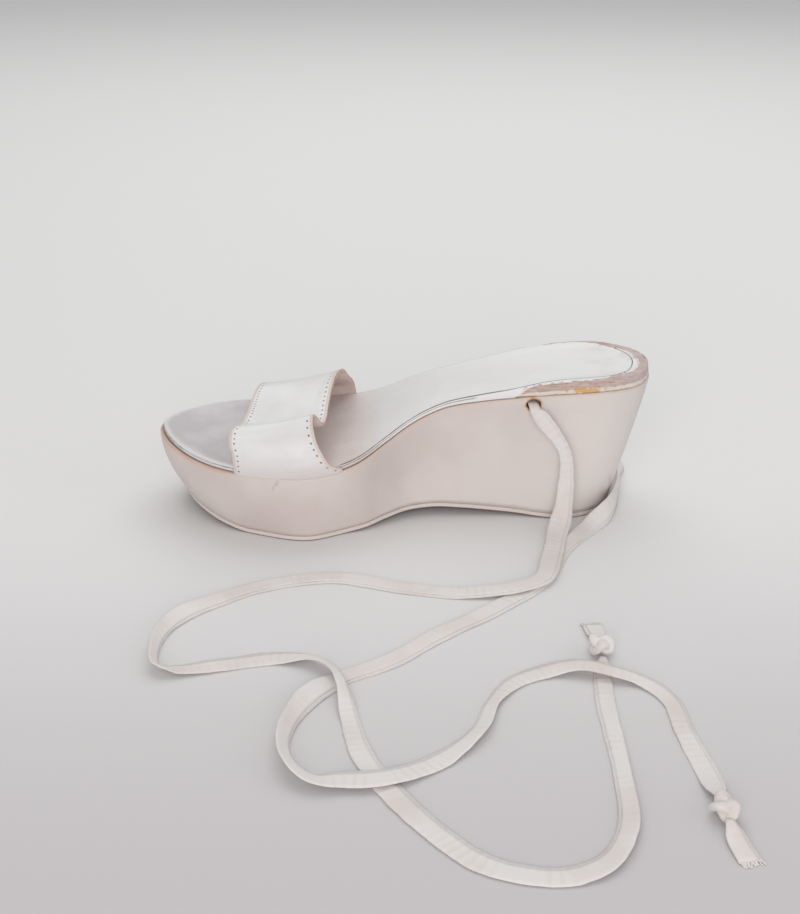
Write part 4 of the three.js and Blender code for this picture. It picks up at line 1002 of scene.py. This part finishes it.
white, skin, place = new_material("white_strap_leather", Roughness=0.4, Specular_IOR_Level=0.45)
along = node(white, "Attribute", {}, out="Fac", attribute_name="along")
from_front = node(white, "Attribute", {}, out="Fac", attribute_name="from_front")
from_back = node(white, "Attribute", {}, out="Fac", attribute_name="from_back")
holes = node(white, "Math", (
    needle_row(white, along, from_front, NEEDLE_INSET, NEEDLE_PITCH, NEEDLE_RADIUS),
    needle_row(white, along, from_back, NEEDLE_INSET, NEEDLE_PITCH, NEEDLE_RADIUS)),
    operation="MAXIMUM")
faint = node(white, "Math", (
    needle_row(white, along, from_front, 0.0011, NEEDLE_PITCH * 0.5, NEEDLE_RADIUS * 0.8),
    needle_row(white, along, from_back, 0.0011, NEEDLE_PITCH * 0.5, NEEDLE_RADIUS * 0.8)),
    operation="MAXIMUM")
colour = node(white, "Mix", {0: node(white, "MapRange",
    (node(white, "TexNoise", {"Vector": place, "Scale": 1 / 0.03, "Detail": 3}), 0.35, 0.7),
    **EASED), 6: linear("#e2e3e3"), 7: linear("#dad9d9")}, **COLOUR_MIX)
nearest = node(white, "Math", (from_front, from_back), operation="MINIMUM")
colour = node(white, "Mix", {0: node(white, "MapRange", (nearest, 0.002, 0.0008, 0, 0.75), **EASED),
    6: colour, 7: linear("#d2bfb6")}, **COLOUR_MIX)
# Painted shade: the strap is painted greyer low down, below 44 mm, where its steeper lower sides
# are in shade.
height = node(white, "SeparateXYZ", {0: place}, out=2)
colour = node(white, "Mix", {0: node(white, "MapRange", (height, 0.044, 0.034, 0, 0.5), **EASED),
    6: colour, 7: linear("#c8bdb9")}, **COLOUR_MIX)
colour = node(white, "Mix",
    {0: node(white, "Math", (faint, 0.35), operation="MULTIPLY"), 6: colour, 7: linear("#a59490")},
    **COLOUR_MIX)
# Painted shade: the needle holes are painted dark brown, as the shade inside them.
colour = node(white, "Mix",
    {0: node(white, "Math", (holes, 0.95), operation="MULTIPLY"), 6: colour, 7: linear("#57433b")},
    **COLOUR_MIX)
link(white, colour, skin.inputs["Base Color"])
link(white, node(white, "MapRange", (
    node(white, "TexNoise", {"Vector": place, "Scale": 1 / 0.015, "Detail": 3}), 0.3, 0.7, 0.34,
    0.5), **EASED), skin.inputs["Roughness"])
grain_bump = node(white, "Bump", {
    "Height": node(white, "TexNoise", {"Vector": place, "Scale": 1 / 0.0012, "Roughness": 0.6}),
    "Strength": 0.2, "Distance": 0.00012})
crease_way = node(white, "Mapping",
    {"Vector": place, "Scale": (0.45, 1.0, 1.0), "Rotation": (0, 0, 0.15)})
relief = node(white, "Math", (node(white, "TexNoise", {"Vector": crease_way, "Scale": 1 / 0.011}),
    node(white, "Math", (holes, 0.5), operation="MULTIPLY")), operation="SUBTRACT")
link(white, node(white, "Bump",
    {"Height": relief, "Strength": 0.4, "Distance": 0.0008, "Normal": grain_bump}),
    skin.inputs["Normal"])

# Pigskin lining, brushed: matt taupe with a fine nap, darker where the foot rubbed it
lining, skin, place = new_material("brushed_pigskin", Roughness=0.85, Specular_IOR_Level=0.25,
                                   Sheen_Weight=0.15)
colour = node(lining, "Mix", {0: node(lining, "MapRange",
    (node(lining, "TexNoise", {"Vector": place, "Scale": 1 / 0.01, "Detail": 3}), 0.35, 0.65),
    **EASED), 6: linear("#e8d8d2"), 7: linear("#d6c4bd")}, **COLOUR_MIX)
link(lining, colour, skin.inputs["Base Color"])
link(lining, node(lining, "Bump", {
    "Height": node(lining, "TexNoise", {"Vector": place, "Scale": 1 / 0.0008, "Detail": 3}),
    "Strength": 0.4, "Distance": 0.0001}), skin.inputs["Normal"])

# Cut edge of white leather: the pinkish beige of the hide between grain and lining
raw, skin, place = new_material("raw_leather_edge", Roughness=0.8, Specular_IOR_Level=0.3)
colour = node(raw, "Mix", {0: node(raw, "MapRange",
    (node(raw, "TexNoise", {"Vector": place, "Scale": 1 / 0.002, "Detail": 3}), 0.35, 0.65),
    **EASED), 6: linear("#cfb4a6"), 7: linear("#b89a8a")}, **COLOUR_MIX)
link(raw, colour, skin.inputs["Base Color"])

# Creases pressed into the strap: from and to along the strap as shares, front-to-back share at
# both, half-width and depth in metres
STRAP_CREASES = (
    (0.335, 0.365, 0.03, 0.97, 0.0030, 0.0005), (0.46, 0.60, 0.10, 0.90, 0.0045, 0.0006),
    (0.56, 0.50, 0.25, 0.80, 0.0040, -0.0005), (0.70, 0.66, 0.05, 0.60, 0.0035, 0.0005),
    (0.28, 0.29, 0.15, 0.85, 0.0030, -0.0004),
)
COLUMNS = 56
columns = np.stack([smooth_line(strap_rows(share), 8)
                    for share in np.linspace(1, 0, COLUMNS + 1)], axis=1)
steps_back = np.linalg.norm(np.diff(columns, axis=1), axis=2)
from_back = np.concatenate([np.zeros((len(columns), 1)), np.cumsum(steps_back, axis=1)], axis=1)
from_front = from_back[:, -1:] - from_back
middle_line = columns[:, COLUMNS // 2]
run = np.concatenate([[0], np.cumsum(np.linalg.norm(np.diff(middle_line, axis=0), axis=1))])
along = np.repeat((run - run[len(run) // 2])[:, None], COLUMNS + 1, 1)
lengthwise = np.gradient(columns, axis=0)
crosswise = np.gradient(columns, axis=1)
out = unit(np.cross(lengthwise, crosswise))
share_along = np.linspace(0, 1, len(columns))[:, None]
share_back = np.linspace(1, 0, COLUMNS + 1)[None, :]
for start, end, low, high, half_width, depth in STRAP_CREASES:
    line = start + (end - start) * share_back
    off = (share_along - line) * run[-1] / half_width
    span = (eased_step(share_back, low - 0.05, low + 0.1)
            * (1 - eased_step(share_back, high - 0.1, high + 0.05)))
    columns = columns - out * (depth * np.exp(-off**2) * span)[..., None]
strap = finished("white_strap", laid_sheet(
    columns, along=along, from_front=from_front, from_back=from_back),
                 [white, lining, raw], closed=False, nodes=["vamp_strap"])
wall = strap.modifiers.new("wall", "SOLIDIFY")
wall.thickness = STRAP_WALL * 0.92
wall.offset = 0
wall.material_offset = 1
wall.material_offset_rim = 2
soften = strap.modifiers.new("pared edge", "BEVEL")
soften.width = 0.00025
soften.segments = 2
soften.limit_method = "ANGLE"
soften.angle_limit = radians(60)


# Stage: a plain pale floor under soft light from above and behind, as in a light tent. The
# paper is painted a little darker towards the front, as painted shade where the light falls off.
paper, skin, place = new_material("matt_paper", Roughness=0.9, Specular_IOR_Level=0.2)
painted_shade_towards_front = node(paper, "MapRange", (node(paper, "SeparateXYZ", {0: place}, out=1), 0.02, -0.32),
    **EASED)
link(paper,
    node(paper, "Mix", {0: painted_shade_towards_front, 6: linear("#e6e6e6"), 7: linear("#c9c6c8")}, **COLOUR_MIX),
    skin.inputs["Base Color"])
floor_sheet = bmesh.new()
bmesh.ops.create_grid(floor_sheet, x_segments=1, y_segments=1, size=6)
mesh = bpy.data.meshes.new("floor")
floor_sheet.to_mesh(mesh)
floor_sheet.free()
mesh.materials.append(paper)
floor = bpy.data.objects.new("floor", mesh)
bpy.context.scene.collection.objects.link(floor)

# Lamps: name, place, size, power, colour
for name, spot, size, power, tint in (("sky_panel", (0.15, 0.80, 1.3), 1.6, 10, "#fffefd"),
                                      ("front_fill", (-0.2, -1.4, 0.5), 0.9, 10, "#fffaf8"),
                                      ("side_fill", (1.3, -0.5, 0.5), 0.8, 1.5, "#fffcfa")):
    lamp = bpy.data.objects.new(name, bpy.data.lights.new(name, "AREA"))
    lamp.data.size = size
    lamp.data.energy = power
    lamp.data.color = linear(tint)[:3]
    lamp.location = spot
    towards = Vector((0, -0.05, 0.02)) - Vector(spot)
    lamp.rotation_euler = towards.to_track_quat("-Z", "Y").to_euler()
    bpy.context.scene.collection.objects.link(lamp)
world = bpy.data.worlds.new("light_tent")
world.use_nodes = True
world.node_tree.nodes["Background"].inputs[0].default_value = linear("#ffffff")
world.node_tree.nodes["Background"].inputs[1].default_value = 0.5
bpy.context.scene.world = world
bpy.context.scene.view_settings.view_transform = "Standard"
